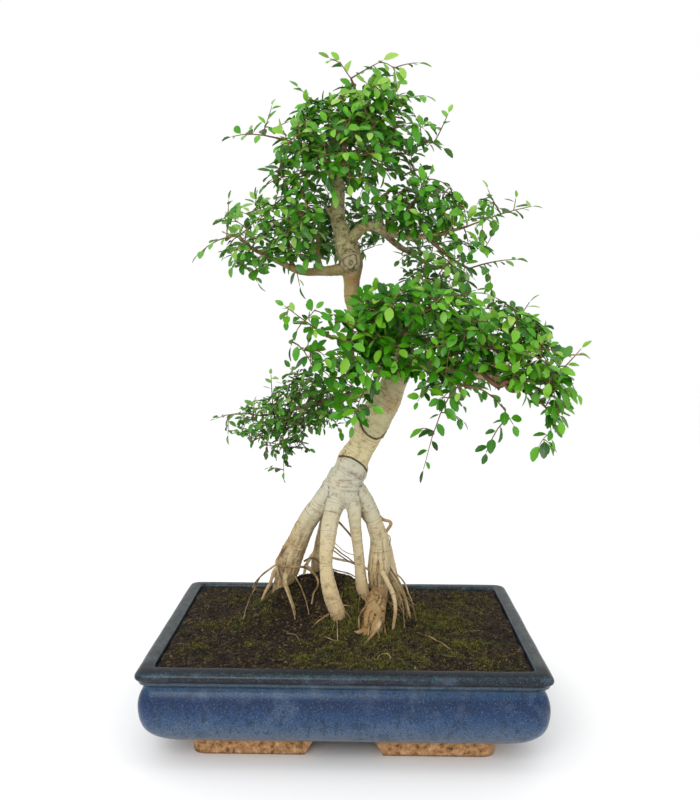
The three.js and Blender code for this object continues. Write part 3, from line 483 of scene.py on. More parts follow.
def copies(name, pattern, shapes):
    """One mesh of many copies of a pattern. shapes holds the points of each copy in metres."""
    count, size, _ = shapes.shape
    corners = np.array([loop.vertex_index for loop in pattern.data.loops])
    starts = np.array([face.loop_start for face in pattern.data.polygons])
    step = np.arange(count)[:, None]
    mesh = bpy.data.meshes.new(name)
    mesh.vertices.add(count * size)
    mesh.loops.add(count * len(corners))
    mesh.polygons.add(count * len(starts))
    mesh.vertices.foreach_set("co", shapes.astype(np.float32).ravel())
    mesh.loops.foreach_set("vertex_index", (corners + step * size).astype(np.int32).ravel())
    mesh.polygons.foreach_set("loop_start", (starts + step * len(corners)).astype(np.int32).ravel())
    mesh.update(calc_edges=True)
    made = bpy.data.objects.new(name, mesh)
    bpy.context.scene.collection.objects.link(made)
    return made


def turned(count, lean):
    """Frames of three directions for copies that are turned at random and lean up to so much."""
    frames = np.empty((count, 3, 3))
    for i in range(count):
        turn, tilt, way = draw.uniform(0, 2 * math.pi), draw.uniform(0, lean), draw.uniform(0, 2 * math.pi)
        tipped = Matrix.Rotation(tilt, 3, (math.cos(way), math.sin(way), 0)) @ Matrix.Rotation(turn, 3, "Z")
        frames[i] = np.array(tipped)
    return frames


def laid(pattern, spots, frames, sizes, sink):
    """Points of the pattern's copies, laid on the soil at spots in mm, with sizes along their own axes."""
    form = np.array([v.co[:] for v in pattern.data.vertices])
    shapes = np.einsum("nij,nvj->nvi", frames, form[None] * sizes[:, None])
    rise = np.array([crumbly(x, y) for x, y in spots]) - sink
    return (shapes + np.column_stack([spots, rise])[:, None]) * MM + (POT_X, 0, 0)


CRUMBS, FIBRES, MOSS_SHOOTS = 2600, 640, 19000
pick()
bpy.ops.mesh.primitive_ico_sphere_add(subdivisions=1, radius=1)
pattern = bpy.context.object
spots = draw.uniform((-184, -133), (184, 133), (CRUMBS, 2))
sizes = draw.uniform(0.5, 1, (CRUMBS, 1)) ** 2 * 1.7 * draw.uniform(0.6, 1.2, (CRUMBS, 3))
crumbs = copies("soil_crumbs", pattern, laid(pattern, spots, turned(CRUMBS, math.pi), sizes, 0.1))
mark(crumbs, "kind", np.repeat(draw.uniform(0, 1, CRUMBS), len(pattern.data.vertices)))
bpy.data.objects.remove(pattern)

# A fibre of dead root is an arch 4 mm to 16 mm long, mostly lying flat.
pick()
bpy.ops.mesh.primitive_cylinder_add(vertices=3, radius=1, depth=2, rotation=(0, math.pi / 2, 0))
pattern = bpy.context.object
settle(pattern, "fibre")
bpy.ops.object.mode_set(mode="EDIT")
choose("edges", lambda edge: abs(edge.verts[0].co.x - edge.verts[1].co.x) > 1)
bpy.ops.mesh.subdivide(number_cuts=4)
bpy.ops.object.mode_set(mode="OBJECT")
spots = draw.uniform((-180, -130), (180, 130), (FIBRES, 2))
form = np.array([v.co[:] for v in pattern.data.vertices])
half, thick = draw.uniform(2, 8, FIBRES), draw.uniform(0.14, 0.34, FIBRES)
bow, rise = draw.uniform(-0.5, 0.5, FIBRES), draw.uniform(0, 0.3, FIBRES) ** 2
frames = turned(FIBRES, 0.12)
shapes = np.empty((FIBRES, len(form), 3))
arch = 1 - form[:, 0] ** 2
for i in range(FIBRES):
    aside = form[:, 1] * thick[i] + bow[i] * half[i] * arch
    up = form[:, 2] * thick[i] + rise[i] * half[i] * arch * 4
    bent = np.column_stack([form[:, 0] * half[i], aside, up])
    shapes[i] = bent @ frames[i].T + (*spots[i], crumbly(*spots[i]) + 0.7)
fibres = copies("root_fibres", pattern, shapes * MM + (POT_X, 0, 0))
mark(fibres, "kind", np.repeat(draw.uniform(0.72, 1, FIBRES), len(form)))
bpy.data.objects.remove(pattern)

# Material: the loose bits are the soil's own grit, bark and root, each in one colour from near black to
# straw, pitted and matt.
bits, tree, shader = start("loose_grit_and_bark")
kind = add("Attribute", {"attribute_name": "kind"}, out="Fac")
tints = [
    (0, "#140e09"), (0.5, "#261b12"), (0.8, "#392b1d"), (0.93, "#554430"), (0.99, "#776545"), (1, "#a08f70"),
]
pores = add("TexNoise", {"Scale": 900.0, "Detail": 3.0}, {"Vector": add("TexCoord", out="Object")})
tint = layered(add("ValToRGB", {"stops": tints}, {0: kind}), "#120d08", pores, 0.65, 0.35, 0.45)
pitting = add("Bump", {"Strength": 0.6, "Distance": 0.4 * MM}, {"Height": pores})
fill(shader, {"Roughness": 0.9}, {"Base Color": tint, "Normal": pitting})
for piece in (crumbs, fibres):
    piece.data.materials.append(bits)
    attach(piece, "root")

# A shoot of moss is a three-sided spike of leaves. It stands where the moss is thick.
pick()
bpy.ops.mesh.primitive_cone_add(vertices=3, radius1=1, radius2=0, depth=2, location=(0, 0, 1))
pattern = bpy.context.object
settle(pattern, "moss_shoot")
spots = []
while len(spots) < MOSS_SHOOTS:
    x, y = draw.uniform(-185, 185), draw.uniform(-134, 134)
    if draw.uniform(0, 1) < mossy(x, y) * 1.1 - 0.08:
        spots.append((x, y))
thick = np.array([mossy(x, y) for x, y in spots])
tall = draw.uniform(0.8, 1.6, MOSS_SHOOTS) * (0.7 + 0.8 * thick)
sizes = np.column_stack([0.32 + 0.22 * draw.uniform(0, 1, MOSS_SHOOTS)] * 2 + [tall])
moss = copies("moss", pattern, laid(pattern, spots, turned(MOSS_SHOOTS, 0.75), sizes, 0.3))
age = np.clip(0.5 + 0.25 * draw.normal(0, 1, MOSS_SHOOTS), 0, 1)
mark(moss, "kind", np.repeat(age, len(pattern.data.vertices)))
mark(moss, "tip", np.tile([v.co.z > 1 for v in pattern.data.vertices], MOSS_SHOOTS))
bpy.data.objects.remove(pattern)

# Material: moss leaves are yellow green at the tips and go olive with age, and each shoot is darkened towards
# its base with painted shade, as deep in the cushion.
moss_leaf, tree, shader = start("cushion_moss")
kind = add("Attribute", {"attribute_name": "kind"}, out="Fac")
ages = [(0, "#3a4010"), (0.4, "#62661a"), (0.7, "#8c8428"), (1, "#c2b14a")]
tint = add("ValToRGB", {"stops": ages}, {0: kind})
# Painted shade: the base of each shoot is darker than its tip.
tint = layered(tint, "#1f2410", add("Attribute", {"attribute_name": "tip"}, out="Fac"), 0.9, 0.0, 0.8)
place = add("TexCoord", out="Object")
damp = add("TexNoise", {"Scale": 160.0, "Detail": 5.0, "Roughness": 0.7}, {"Vector": place})
tint = layered(tint, "#131605", damp, 0.54, 0.38, 0.88)
fill(shader, {"Roughness": 0.75}, {"Base Color": tint})
moss.data.materials.append(moss_leaf)
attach(moss, "root")

# Wood: roots, trunk and limbs that grew as one piece. Each line is the route from its foot to its end and the
# radius at each point of the route. The roots were bared over the years by washing soil away.
TRUNK = (
    [[-5, 11, 234], [-4, 10, 250], [-2, 9, 265], [4, 8, 277], [8, 7, 291], [15, 7, 303], [21, 6, 315],
        [26, 5, 328], [34, 3, 343], [43, 2, 357], [52, -2, 379], [60, -3, 396], [60, -2, 413], [47, 1, 428],
        [29, 5, 437], [13, 9, 450], [4, 12, 468], [3, 13, 488], [3, 14, 500], [2, 14, 513], [-2, 13, 526],
        [-7, 12, 539], [-11, 12, 552], [-14, 11, 568], [-13, 10, 582], [-12, 10, 600], [-11, 10, 616],
        [-8, 8, 634], [-2, 4, 660], [5, 0, 686]],
    [16, 19.5, 20.5, 19.6, 18.3, 16.7, 17.4, 20.2, 19.2, 17.2, 14.6, 13.5, 12.8, 12.2, 11.4, 10, 9, 8.6,
        10.5, 14, 13.5, 10.5, 8.8, 8, 7.2, 6.4, 5.6, 4.4, 3.2, 2.2],
)
ROOTS = [
    ([[-8, 10, 274], [-20, 12, 252], [-33, 16, 233], [-47, 22, 212], [-56, 28, 191], [-64, 33, 173],
        [-69, 37, 153], [-76, 40, 134], [-84, 44, 104]], [12, 12.4, 12, 11.8, 13, 14.2, 14, 11, 8]),
    ([[-5, 4, 256], [-13, -1, 238], [-18, -6, 222], [-21, -12, 202], [-23, -15, 178], [-21, -16, 156],
        [-16, -20, 136], [-9, -23, 118], [-5, -26, 94]], [11, 10.8, 10.2, 9.1, 7.7, 8.2, 9.1, 9, 6]),
    ([[3, 4, 256], [8, 1, 232], [10, 1, 210], [13, 3, 188], [15, 6, 166], [18, 10, 138], [20, 14, 104]],
        [9.4, 8.2, 6.8, 6.1, 6.2, 7.4, 6]),
    ([[8, 10, 258], [17, 11, 246], [25, 12, 232], [31, 14, 215], [37, 17, 196], [38, 20, 175],
        [37, 22, 156], [38, 26, 134], [40, 30, 100]], [11, 10, 9.4, 9.6, 10.6, 12, 12.4, 10.5, 7]),
    ([[8, 14, 244], [28, 24, 218], [42, 34, 188], [50, 41, 158], [56, 47, 130], [61, 52, 96]],
        [10, 9, 8.4, 8, 8, 6]),
    ([[-6, 16, 246], [-18, 28, 222], [-27, 44, 192], [-34, 60, 160], [-38, 74, 124], [-42, 84, 92]],
        [11, 10, 9.4, 9, 9, 7]),
    # The stump of a thick cut root that lies half sunk in front, and the thinner roots round it.
    ([[38, 22, 134], [36, 10, 126], [33, -4, 118], [30, -18, 109], [28, -31, 100], [27, -42, 90]],
        [8, 11, 12.6, 13, 11.5, 7]),
    ([[38, 14, 162], [47, 3, 148], [54, -5, 134], [56, -12, 120], [54, -20, 107], [51, -28, 92]],
        [3.2, 3, 2.8, 2.6, 2.3, 1.8]),
    ([[40, -16, 114], [38, -30, 110], [29, -48, 103], [19, -62, 97]], [2.6, 2.5, 2.1, 1.6]),
    ([[46, 30, 164], [58, 24, 146], [67, 16, 128], [75, 10, 100]], [3.4, 2.9, 2.4, 1.8]),
    ([[-66, 36, 160], [-84, 34, 153], [-90, 30, 138], [-98, 24, 122], [-104, 20, 98]],
        [3.6, 2.8, 2.4, 2, 1.6]),
    ([[-70, 34, 150], [-72, 18, 144], [-66, 5, 130], [-60, -3, 116], [-57, -8, 96]], [4, 3, 2.5, 2.1, 1.8]),
    ([[-30, 54, 176], [-44, 52, 162], [-50, 44, 150], [-52, 36, 134]], [3.2, 2.6, 2.4, 1.8]),
    ([[-33, 62, 164], [-16, 68, 157], [10, 64, 152], [34, 52, 144], [50, 44, 138]], [2.4, 2, 1.8, 2, 2.2]),
]
LIMBS = [
    # Four limbs of the apex, to the left, right, back and front.
    ([[-12, 10, 611], [-31, 0, 624], [-54, -10, 634]], [4.4, 3, 2]),
    ([[-10, 9, 623], [13, -4, 632], [41, -14, 637]], [4.2, 3, 2]),
    ([[-11, 10, 614], [-4, 30, 630], [-3, 44, 638]], [4, 2.8, 2]),
    ([[-10, 8, 625], [-8, -12, 631], [-6, -30, 632]], [3.8, 2.6, 1.9]),
    # The middle limbs: two to the left, two to the right and one behind.
    ([[2, 13, 506], [-14, 9, 503], [-32, 4, 501], [-52, -8, 500], [-75, -18, 509], [-99, -24, 520]],
        [8, 6.4, 5.2, 4.2, 3.2, 2.1]),
    ([[-32, 4, 501], [-36, 20, 528], [-33, 33, 560]], [3.6, 3, 2]),
    ([[-4, 11, 532], [6, 6, 541], [17, 0, 550], [34, -5, 548], [51, -10, 541], [68, -18, 537],
        [97, -26, 540]], [8, 7, 6, 5.2, 4.6, 3.8, 2.2]),
    ([[34, -4, 547], [54, 22, 532], [71, 42, 524], [94, 58, 511]], [4.4, 3.8, 3, 2]),
    ([[-8, 12, 543], [-10, 40, 557], [-12, 64, 568]], [5, 3.4, 2.1]),
    # The long limb to the right in front, and two short ones over it.
    ([[60, -3, 402], [74, -20, 401], [92, -40, 399], [118, -62, 396], [146, -82, 390], [175, -94, 388]],
        [10, 7.4, 6.2, 5, 3.8, 2.3]),
    ([[54, -2, 422], [60, -28, 438], [80, -56, 456]], [7, 4.4, 2.2]),
    ([[40, 2, 431], [21, -32, 430], [0, -54, 426]], [6, 3.8, 2.1]),
    # The low limb to the left, and two behind.
    ([[49, -1, 372], [32, 22, 367], [8, 40, 360], [-20, 56, 352], [-50, 68, 344], [-81, 76, 335]],
        [9, 7, 5.6, 4.6, 3.6, 2.2]),
    ([[60, -2, 410], [64, 34, 428], [71, 84, 450]], [8, 5, 2.2]),
    ([[58, -2, 392], [88, 34, 400], [128, 60, 402]], [7, 4.4, 2.2]),
    # Short stubs that are left where limbs were cut off.
    ([[-10, 12, 554], [-22, 10, 566], [-29, 9, 574]], [4.5, 3, 1.4]),
    ([[34, -5, 546], [33, -9, 560], [32, -12, 571]], [4.6, 4, 3.6]),
    # The round callus where a thick limb was once cut from the front of the trunk.
    ([[2, 12, 512], [1, 2, 512], [0, -4, 512]], [11.5, 11, 8.4]),
]
# Numbers of routes: two roots that are strands grown together, one behind them, and the gnarled stump.
LEFT_ROOT, RIGHT_ROOT, BACK_ROOT, STUMP = 1, 4, 6, 7
VOXEL = 1.5
# Two scars, where a training wire bit into the bark, cross the front of the trunk.
SCARS = [
    [[13, 338], [14, 333], [17, 327], [22, 320], [27, 316.5], [32, 315], [38, 316], [42, 319], [46, 325]],
    [[-14, 291], [-11, 293], [-4, 295], [4, 294], [13, 289], [18, 284], [22, 278], [25, 272]],
]
KNOB = (1.3, 511)  # X and Z of the round callus on the front of the trunk


def spot(x, y, z):
    return Vector((POT_X + x * MM, y * MM, z * MM))


def grown(name, routes, rings, roundness):
    """Tapering round limbs along their routes as one mesh. Three points with two radii are one arch."""
    data = bpy.data.curves.new(name, "CURVE")
    data.dimensions = "3D"
    data.bevel_depth = MM
    data.bevel_resolution = roundness
    data.resolution_u = rings
    data.use_fill_caps = True
    for route, radii in routes:
        spline = data.splines.new("BEZIER")
        arch = len(route) == 3 and len(radii) == 2
        ends = [route[0], route[2]] if arch else route
        spline.bezier_points.add(len(ends) - 1)
        for point, at, radius in zip(spline.bezier_points, ends, radii):
            point.co = spot(*at)
            point.radius = radius
            point.handle_left_type = point.handle_right_type = "FREE" if arch else "AUTO"
            if arch:
                point.handle_left = point.handle_right = spot(*at).lerp(spot(*route[1]), 2 / 3)
    made = bpy.data.objects.new(name, data)
    bpy.context.scene.collection.objects.link(made)
    pick(made)
    bpy.ops.object.convert(target="MESH")
    return made


def to_line(places, line):
    """The distance in mm from places to a line, both seen from the front."""
    best = np.full(len(places), 1e9)
    for a, b in zip(line[:-1], line[1:]):
        a, b = np.array(a, float), np.array(b, float)
        share = np.clip((places[:, [0, 2]] - a) @ (b - a) / ((b - a) @ (b - a)), 0, 1)
        best = np.minimum(best, np.linalg.norm(places[:, [0, 2]] - a - share[:, None] * (b - a), axis=1))
    return best


routes = [TRUNK, *ROOTS, *LIMBS]
wood = grown("roots_trunk_and_limbs", routes, rings=6, roundness=4)
apply_modifier(wood, "REMESH", mode="VOXEL", voxel_size=VOXEL * MM, use_smooth_shade=True)
apply_modifier(wood, "SMOOTH", factor=0.5, iterations=5)
places, facings = points_of(wood)
places = (places - (POT_X, 0, 0)) / MM

# Each point of the skin belongs to the limb whose surface it lies nearest.
APART = 40.0  # the wrinkles of a route start this far along from those of the route before
near = np.full(len(places), 1e9)
owner = np.zeros(len(places), dtype=int)
along, girth = np.zeros(len(places)), np.zeros(len(places))
outward = np.zeros((len(places), 3))
for number, (route, radii) in enumerate(routes):
    walked = APART * number
    for i in range(len(route) - 1):
        a, b = np.array(route[i], float), np.array(route[i + 1], float)
        length = np.linalg.norm(b - a)
        share = np.clip((places - a) @ (b - a) / length**2, 0, 1)
        radius = radii[i] + (radii[i + 1] - radii[i]) * share
        away = places - a - share[:, None] * (b - a)
        gap = np.linalg.norm(away, axis=1) - radius
        mine = gap < near
        near[mine] = gap[mine]
        owner[mine] = number
        along[mine] = walked + length * share[mine]
        girth[mine] = radius[mine]
        outward[mine] = away[mine] / (np.linalg.norm(away[mine], axis=1)[:, None] + 1e-6)
        walked += length

# Flutes run along the limbs, wrinkles run round them, and the bark is lumpy and finely rough.
STRANDS_END = 220  # the strands of the two roots part below this height
COLLAR, KNOTTIEST = 262, 548  # heights of the wrinkled collar over the roots and of the knottiest bark
relief = np.zeros(len(places))
for i, place in enumerate(places):
    p, o, s, r = Vector(place), Vector(outward[i]), along[i], girth[i]
    flute = noise.noise(Vector((o.x * 1.6, o.y * 1.6, o.z * 1.6 + s * 0.008))) * 0.1 * r
    if owner[i] in (LEFT_ROOT, RIGHT_ROOT):
        strand = abs(noise.noise(Vector((o.x * 2.6, o.y * 2.6, o.z * 2.6 + s * 0.006))))
        flute += (min(strand * 5, 1) - 0.8) * 2.2 * min(max((STRANDS_END - p.z) / 60, 0), 1)
    lump = noise.noise(p * 0.045 + Vector((9, 0, 0))) * 0.07 * r
    wrinkle = noise.noise(Vector((s * 0.42, o.x * 0.9, o.y * 0.9 + o.z * 0.5))) * 0.3
    rough = noise.noise(p * 0.35) * 0.22
    if o.length and owner[i] == 0 and p.z > 490:
        knotty = noise.noise(Vector((p.x * 0.1, p.y * 0.1, p.z * 0.06)) + Vector((4, 0, 0)))
        lump += knotty * 2.4 * max(1 - abs(p.z - KNOTTIEST) / 80, 0)
    ringed = noise.noise(Vector((p.y * 0.02, p.x * 0.03, p.z * 0.42)))
    collar = max(1 - abs(p.z - COLLAR) / 20, 0) * ringed * 1.7
    relief[i] = flute + lump + (wrinkle + rough) * min(r / 6, 1) + collar
    if owner[i] == STUMP:
        fold = noise.noise(Vector((s * 0.05, o.x * 1.5, o.z * 1.5)) + Vector((0, 0, 3)))
        fold += 0.35 * noise.noise(p * 0.12)
        from_fork = min(max((s - APART * STUMP - 6) / 18, 0), 1)
        relief[i] += (1.0 - 4.5 * math.exp(-((fold / 0.07) ** 2))) * from_fork
scar = np.minimum.reduce([to_line(places, line) for line in SCARS])
scar += np.clip(facings[:, 1] + 0.15, 0, 1) * 14  # the back of the trunk has none
ring = np.hypot(places[:, 0] - KNOB[0], places[:, 2] - KNOB[1])
ring += [noise.noise(Vector((x * 0.2, 7, z * 0.2))) * 3.2 for x, z in places[:, [0, 2]]]
ring = np.where(places[:, 1] < 1, ring * 0.86, 99)
# Ridges and grooves along the scars and round the callus: the distance, the width and the height of each.
for distance, folds in (
    (scar, [(2.6, 1.2, 0.55), (0, 0.95, -1.1)]),
    (ring, [(8.6, 1.5, 1.5), (11.2, 0.9, -1.6), (6.4, 0.8, -0.9), (4.2, 0.9, 0.7), (2.2, 0.8, -0.6)]),
):
    for middle, width, high in folds:
        relief += high * np.exp(-(((distance - middle) / width) ** 2))
places += facings * relief[:, None]
move_points(wood, places * MM + (POT_X, 0, 0))
low_scar, high_scar = [np.interp(places[:, 0], *np.array(line).T) for line in SCARS[::-1]]
above = np.where(places[:, 0] < 13, 345, high_scar)
foot = np.clip((136 - places[:, 2]) / 30, 0, 1)
stained = np.clip((226 - places[:, 2]) / 40, 0, 1)
mark(wood, "along", along)
mark(wood, "girth", girth)
mark(wood, "scar", np.minimum(scar, 12))
mark(wood, "knob", np.minimum(ring, 30))
mark(wood, "between", (places[:, 2] > low_scar) & (places[:, 2] < above))
mark(wood, "gnarl", owner == STUMP)
mark(wood, "muddy", np.where((owner == LEFT_ROOT) | (owner == BACK_ROOT), stained, foot))
pick(wood)
bpy.ops.object.shade_smooth()

# Material: the thin, smooth, matt, grey bark of a zelkova. It is greenish grey over the root buttress, straw
# coloured on the bared roots, olive on the trunk and browner on thin limbs, with fine wrinkles and pores.
bark, tree, shader = start("smooth_zelkova_bark")
place = add("TexCoord", out="Object")
height = add("SeparateXYZ", links={0: place}, out=2)
cloud = add("TexNoise", {"Scale": 45.0, "Detail": 5.0, "Roughness": 0.6}, {"Vector": place})
shift = add("MapRange", {"From Min": 0.2, "From Max": 0.8, "To Min": -0.03, "To Max": 0.03}, {0: cloud})
level = add("Math", {"operation": "ADD"}, {0: height, 1: shift})
level = add("MapRange", {"From Min": 0.09, "From Max": 0.69}, {0: level})
zones = [
    (0, "#8f7a52"), (0.05, "#bba37a"), (0.13, "#cfbc92"), (0.19, "#c6b892"), (0.24, "#bfb9a0"),
    (0.29, "#bab7a4"), (0.335, "#b8b59f"), (0.36, "#b9b188"), (0.44, "#b6ae84"), (0.5, "#a99c70"),
    (0.62, "#9a8852"), (0.7, "#877c50"), (0.8, "#8e8858"), (1, "#827a50"),
]
skin = add("ValToRGB", {"stops": zones}, {0: level})
skin = layered(skin, "#cabd92", add("Attribute", {"attribute_name": "between"}, out="Fac"), 0.0, 1.0)
upper = add("MapRange", {"From Min": 0.3, "From Max": 0.36, "To Max": 0.75}, {0: height})
thickness = add("Attribute", {"attribute_name": "girth"}, out="Fac")
skin = layered(skin, "#7c6240", thickness, 6.5, 2.5, mask=upper)
skin = layered(skin, "#d3c7a6", cloud, 0.5, 0.75, 0.6)
stain = add("TexNoise", {"Scale": 130.0, "Detail": 4.0}, {"Vector": place})
skin = layered(skin, "#8c7048", stain, 0.54, 0.7, 0.7)
# A brown patch shows where a leaf pad rubbed the trunk, and a second brown patch under the callus is painted
# shadow below its ledge.
for x, y, z, size, blotch_and_shade in ((0.05, -0.014, 0.354, 0.009, "#9a7046"), (0.006, 0.006, 0.492, 0.01, "#8a5a26")):
    away = add("VectorMath", {"operation": "DISTANCE", 1: (x + POT_X, y, z)}, {0: place}, out="Value")
    skin = layered(skin, blotch_and_shade, away, size * 1.6, size * 0.4, mask=cloud)
# High on the trunk the bark is older, with dark cracks and grey green scales of 3 mm to 8 mm.
old = add("MapRange", {"From Min": 0.495, "From Max": 0.52}, {0: height})
flaky = {"Scale": 210.0, "Detail": 5.0, "Roughness": 0.7, "Distortion": 0.8}
scales = add("TexNoise", flaky, {"Vector": place})
skin = layered(skin, "#b3b088", scales, 0.5, 0.62, 0.75, old)
skin = layered(skin, "#4b4220", scales, 0.47, 0.38, 0.85, old)
# The feet and the left root are stained brown by the soil that once covered them.
mud = add("TexNoise", {"Scale": 70.0, "Detail": 6.0, "Roughness": 0.7}, {"Vector": place})
muddy = add("Attribute", {"attribute_name": "muddy"}, out="Fac")
skin = layered(skin, "#85653e", mud, 0.4, 0.66, 0.85, muddy)
# Wrinkles and pores run round the limb, 1 mm to 3 mm apart.
rows = add("CombineXYZ", links={0: add("Attribute", {"attribute_name": "along"}, out="Fac")})
squeezed = add("VectorMath", {"operation": "SCALE", "Scale": 60.0}, {0: place})
rows = add("VectorMath", {"operation": "ADD"}, {0: squeezed, 1: rows})
wrinkles = add("TexNoise", {"Scale": 0.9, "Detail": 3.0, "Roughness": 0.65}, {"Vector": rows})
skin = layered(skin, "#5d4c35", wrinkles, 0.44, 0.33, 0.6)
pores = add("TexVoronoi", {"Scale": 240.0}, {"Vector": place}, out="Distance")
skin = layered(skin, "#57452e", pores, 0.2, 0.1, 0.5)
# The scars are brown in the groove, and the callus has dark rings in its grooves and pale ones on its ridges,
# painted shade and painted light.
skin = layered(skin, "#4a3216", add("Attribute", {"attribute_name": "scar"}, out="Fac"), 1.5, 0.8, 0.92)
from_knob = add("MapRange", {"From Max": 16.0}, {0: add("Attribute", {"attribute_name": "knob"}, out="Fac")})
rings = [
    (0, "#857a58"), (0.12, "#5d5136"), (0.2, "#8a805f"), (0.32, "#a39a7a"), (0.4, "#54472e"),
    (0.46, "#8f8565"), (0.56, "#a59b7c"), (0.66, "#6b5f42"), (0.7, "#3a2f1c"), (0.76, "#7d7252"),
]
callus = add("ValToRGB", {"stops": rings}, {0: from_knob})
on_knob = add("MapRange", {"From Min": 0.85, "From Max": 0.72, "To Max": 0.85}, {0: from_knob})
skin = add("Mix", {"data_type": "RGBA"}, {0: on_knob, 6: skin, 7: callus}, out=2)
# The stump is browner, and crevices are darkened with painted shade.
skin = layered(skin, "#956f3e", add("Attribute", {"attribute_name": "gnarl"}, out="Fac"), 0.0, 1.0, 0.62)
# Painted shade in the concave places of the wood.
skin = layered(skin, "#33261a", add("NewGeometry", out="Pointiness"), 0.492, 0.44, 0.9)
aged = add("Math", {"operation": "MULTIPLY"}, {0: scales, 1: old})
grain = add("Bump", {"Strength": 0.5, "Distance": 0.5 * MM}, {"Height": wrinkles})
grain = add("Bump", {"Strength": 0.9, "Distance": 1.2 * MM}, {"Height": aged, "Normal": grain})
grain = add("Bump", {"Strength": 0.4, "Distance": 0.3 * MM}, {"Height": pores, "Normal": grain})
fill(shader, {"Roughness": 0.78, "Specular IOR Level": 0.3}, {"Base Color": skin, "Normal": grain})
wood.data.materials.clear()
wood.data.materials.append(bark)
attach(wood, "root")
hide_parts("tree_wood")

# Rootlets: wiry side roots, 1 mm to 6 mm thick, that spring from the thick ones, cross between them and end
# in the soil, and a few dry strands that lie on it. Each is its route and its radius at the start.
ROOTLETS = [
    # Round the left root and behind it.
    ([[-62, 30, 192], [-71, 24, 183], [-79, 22, 172], [-82, 20, 164], [-75, 14, 162], [-65, 11, 162],
        [-54, 12, 162], [-45, 20, 157], [-36, 22, 147], [-33, 20, 140], [-38, 10, 130], [-40, 4, 120]], 2.0),
    ([[-80, 18, 165], [-93, 20, 154], [-102, 22, 146], [-110, 20, 134]], 1.4),
    ([[-101, 22, 147], [-108, 18, 132], [-116, 12, 114], [-120, 8, 98]], 0.7),
    ([[-80, 14, 162], [-74, 8, 148], [-66, 0, 136], [-60, -8, 118], [-58, -12, 104]], 1.0),
    ([[-60, 14, 150], [-52, 8, 138], [-46, 0, 124], [-42, -6, 110]], 0.8),
    ([[-52, 50, 158], [-42, 50, 162], [-33, 46, 158], [-24, 40, 150]], 1.3),
    ([[-50, 42, 156], [-38, 36, 147], [-30, 30, 139], [-28, 22, 128]], 2.0),
    # Between the roots.
    ([[-14, 50, 210], [-3, 46, 199], [6, 42, 190], [14, 38, 183]], 1.5),
    ([[-18, 46, 178], [-6, 44, 169], [9, 42, 159]], 1.1),
    ([[-18, 48, 173], [-4, 46, 163], [12, 44, 155]], 0.9),
    ([[-20, 52, 184], [-10, 50, 176], [0, 46, 170], [12, 42, 168]], 0.6),
    ([[-22, 44, 152], [-8, 40, 149], [6, 36, 146], [16, 28, 140]], 0.9),
    # Right of the roots.
    ([[28, 14, 234], [38, 20, 220], [44, 22, 216], [51, 22, 212], [48, 22, 205], [43, 21, 199]], 2.6),
    ([[44, 24, 200], [50, 24, 195], [50, 23, 186], [44, 22, 177]], 0.7),
    ([[39, 12, 176], [36, 8, 165], [32, 0, 151], [34, -4, 143], [41, -6, 138], [46, -8, 128]], 1.6),
    ([[50, 26, 160], [60, 20, 144], [66, 14, 134], [69, 10, 118], [70, 8, 104]], 1.3),
    ([[54, 28, 154], [66, 22, 144], [74, 12, 128], [80, 4, 106], [82, 0, 98]], 1.0),
    ([[47, 16, 150], [56, 4, 140], [64, -4, 126], [66, -10, 108], [67, -12, 98]], 1.1),
    # On the stump and in front of it.
    ([[24, -12, 124], [17, -20, 119], [14, -30, 110], [18, -38, 101]], 1.5),
    ([[26, -16, 124], [34, -24, 120], [42, -28, 110], [44, -34, 100]], 1.4),
    ([[30, -24, 119], [27, -34, 112], [25, -44, 103], [24, -50, 96]], 1.3),
    ([[36, -30, 112], [35, -40, 106], [37, -50, 100], [38, -56, 95]], 1.6),
    ([[22, -34, 104], [10, -41, 102], [-4, -52, 98], [-10, -58, 94]], 3.0),
    ([[34, -104, 96], [35, -106, 103], [40, -108, 107], [46, -108, 104], [45, -109, 99], [39, -109, 98],
        [37, -112, 95]], 0.6),
    ([[80, -26, 99], [96, -50, 101], [114, -76, 99]], 0.8),
    ([[-40, -20, 103], [-28, -44, 102], [-10, -60, 101]], 0.7),
    ([[-70, -30, 99], [-54, -46, 101], [-48, -66, 99]], 0.6),
]
routes = []
for route, thick in ROOTLETS:
    routes.append((route, [thick] + [thick * (1 - 0.5 * i / len(route)) for i in range(1, len(route))]))
# Hair roots round the feet of the thick roots.
for route, radii in ROOTS[:6]:
    foot = Vector(route[-2])
    for _ in range(15):
        turn = draw.uniform(0, 2 * math.pi)
        way = Vector((math.cos(turn), math.sin(turn), 0))
        reach, high = draw.uniform(10, 30), draw.uniform(-14, 10)
        begin = foot + way * radii[-2] * 0.8 + Vector((0, 0, high))
        end = begin + way * reach
        end.z = soil_height(end.x, end.y) - 1
        crown = begin.lerp(end, 0.5) + Vector((draw.uniform(-4, 4), draw.uniform(-4, 4), draw.uniform(-3, 5)))
        routes.append(([list(begin - way * 3), list(crown), list(end)], [draw.uniform(0.5, 0.9), 0.35]))
rootlets = grown("rootlets", routes, rings=5, roundness=1)
places, _ = points_of(rootlets)
kinks = np.array([noise.noise_vector(Vector(p) * 90)[:] for p in places])
move_points(rootlets, places + kinks * 1.1 * MM)
pick(rootlets)
bpy.ops.object.shade_smooth()

# Material: the thin bark of side roots, tan and matt, with darker stretches.
root_skin, tree, shader = start("thin_root_bark")
stretch = add("TexNoise", {"Scale": 70.0, "Detail": 5.0}, {"Vector": add("TexCoord", out="Object")})
tans = [(0.3, "#4b3823"), (0.45, "#7c6440"), (0.6, "#a88d5f"), (0.75, "#c3ab7e")]
fill(shader, {"Roughness": 0.85}, {"Base Color": add("ValToRGB", {"stops": tans}, {0: stretch})})
rootlets.data.materials.append(root_skin)
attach(rootlets, "root")

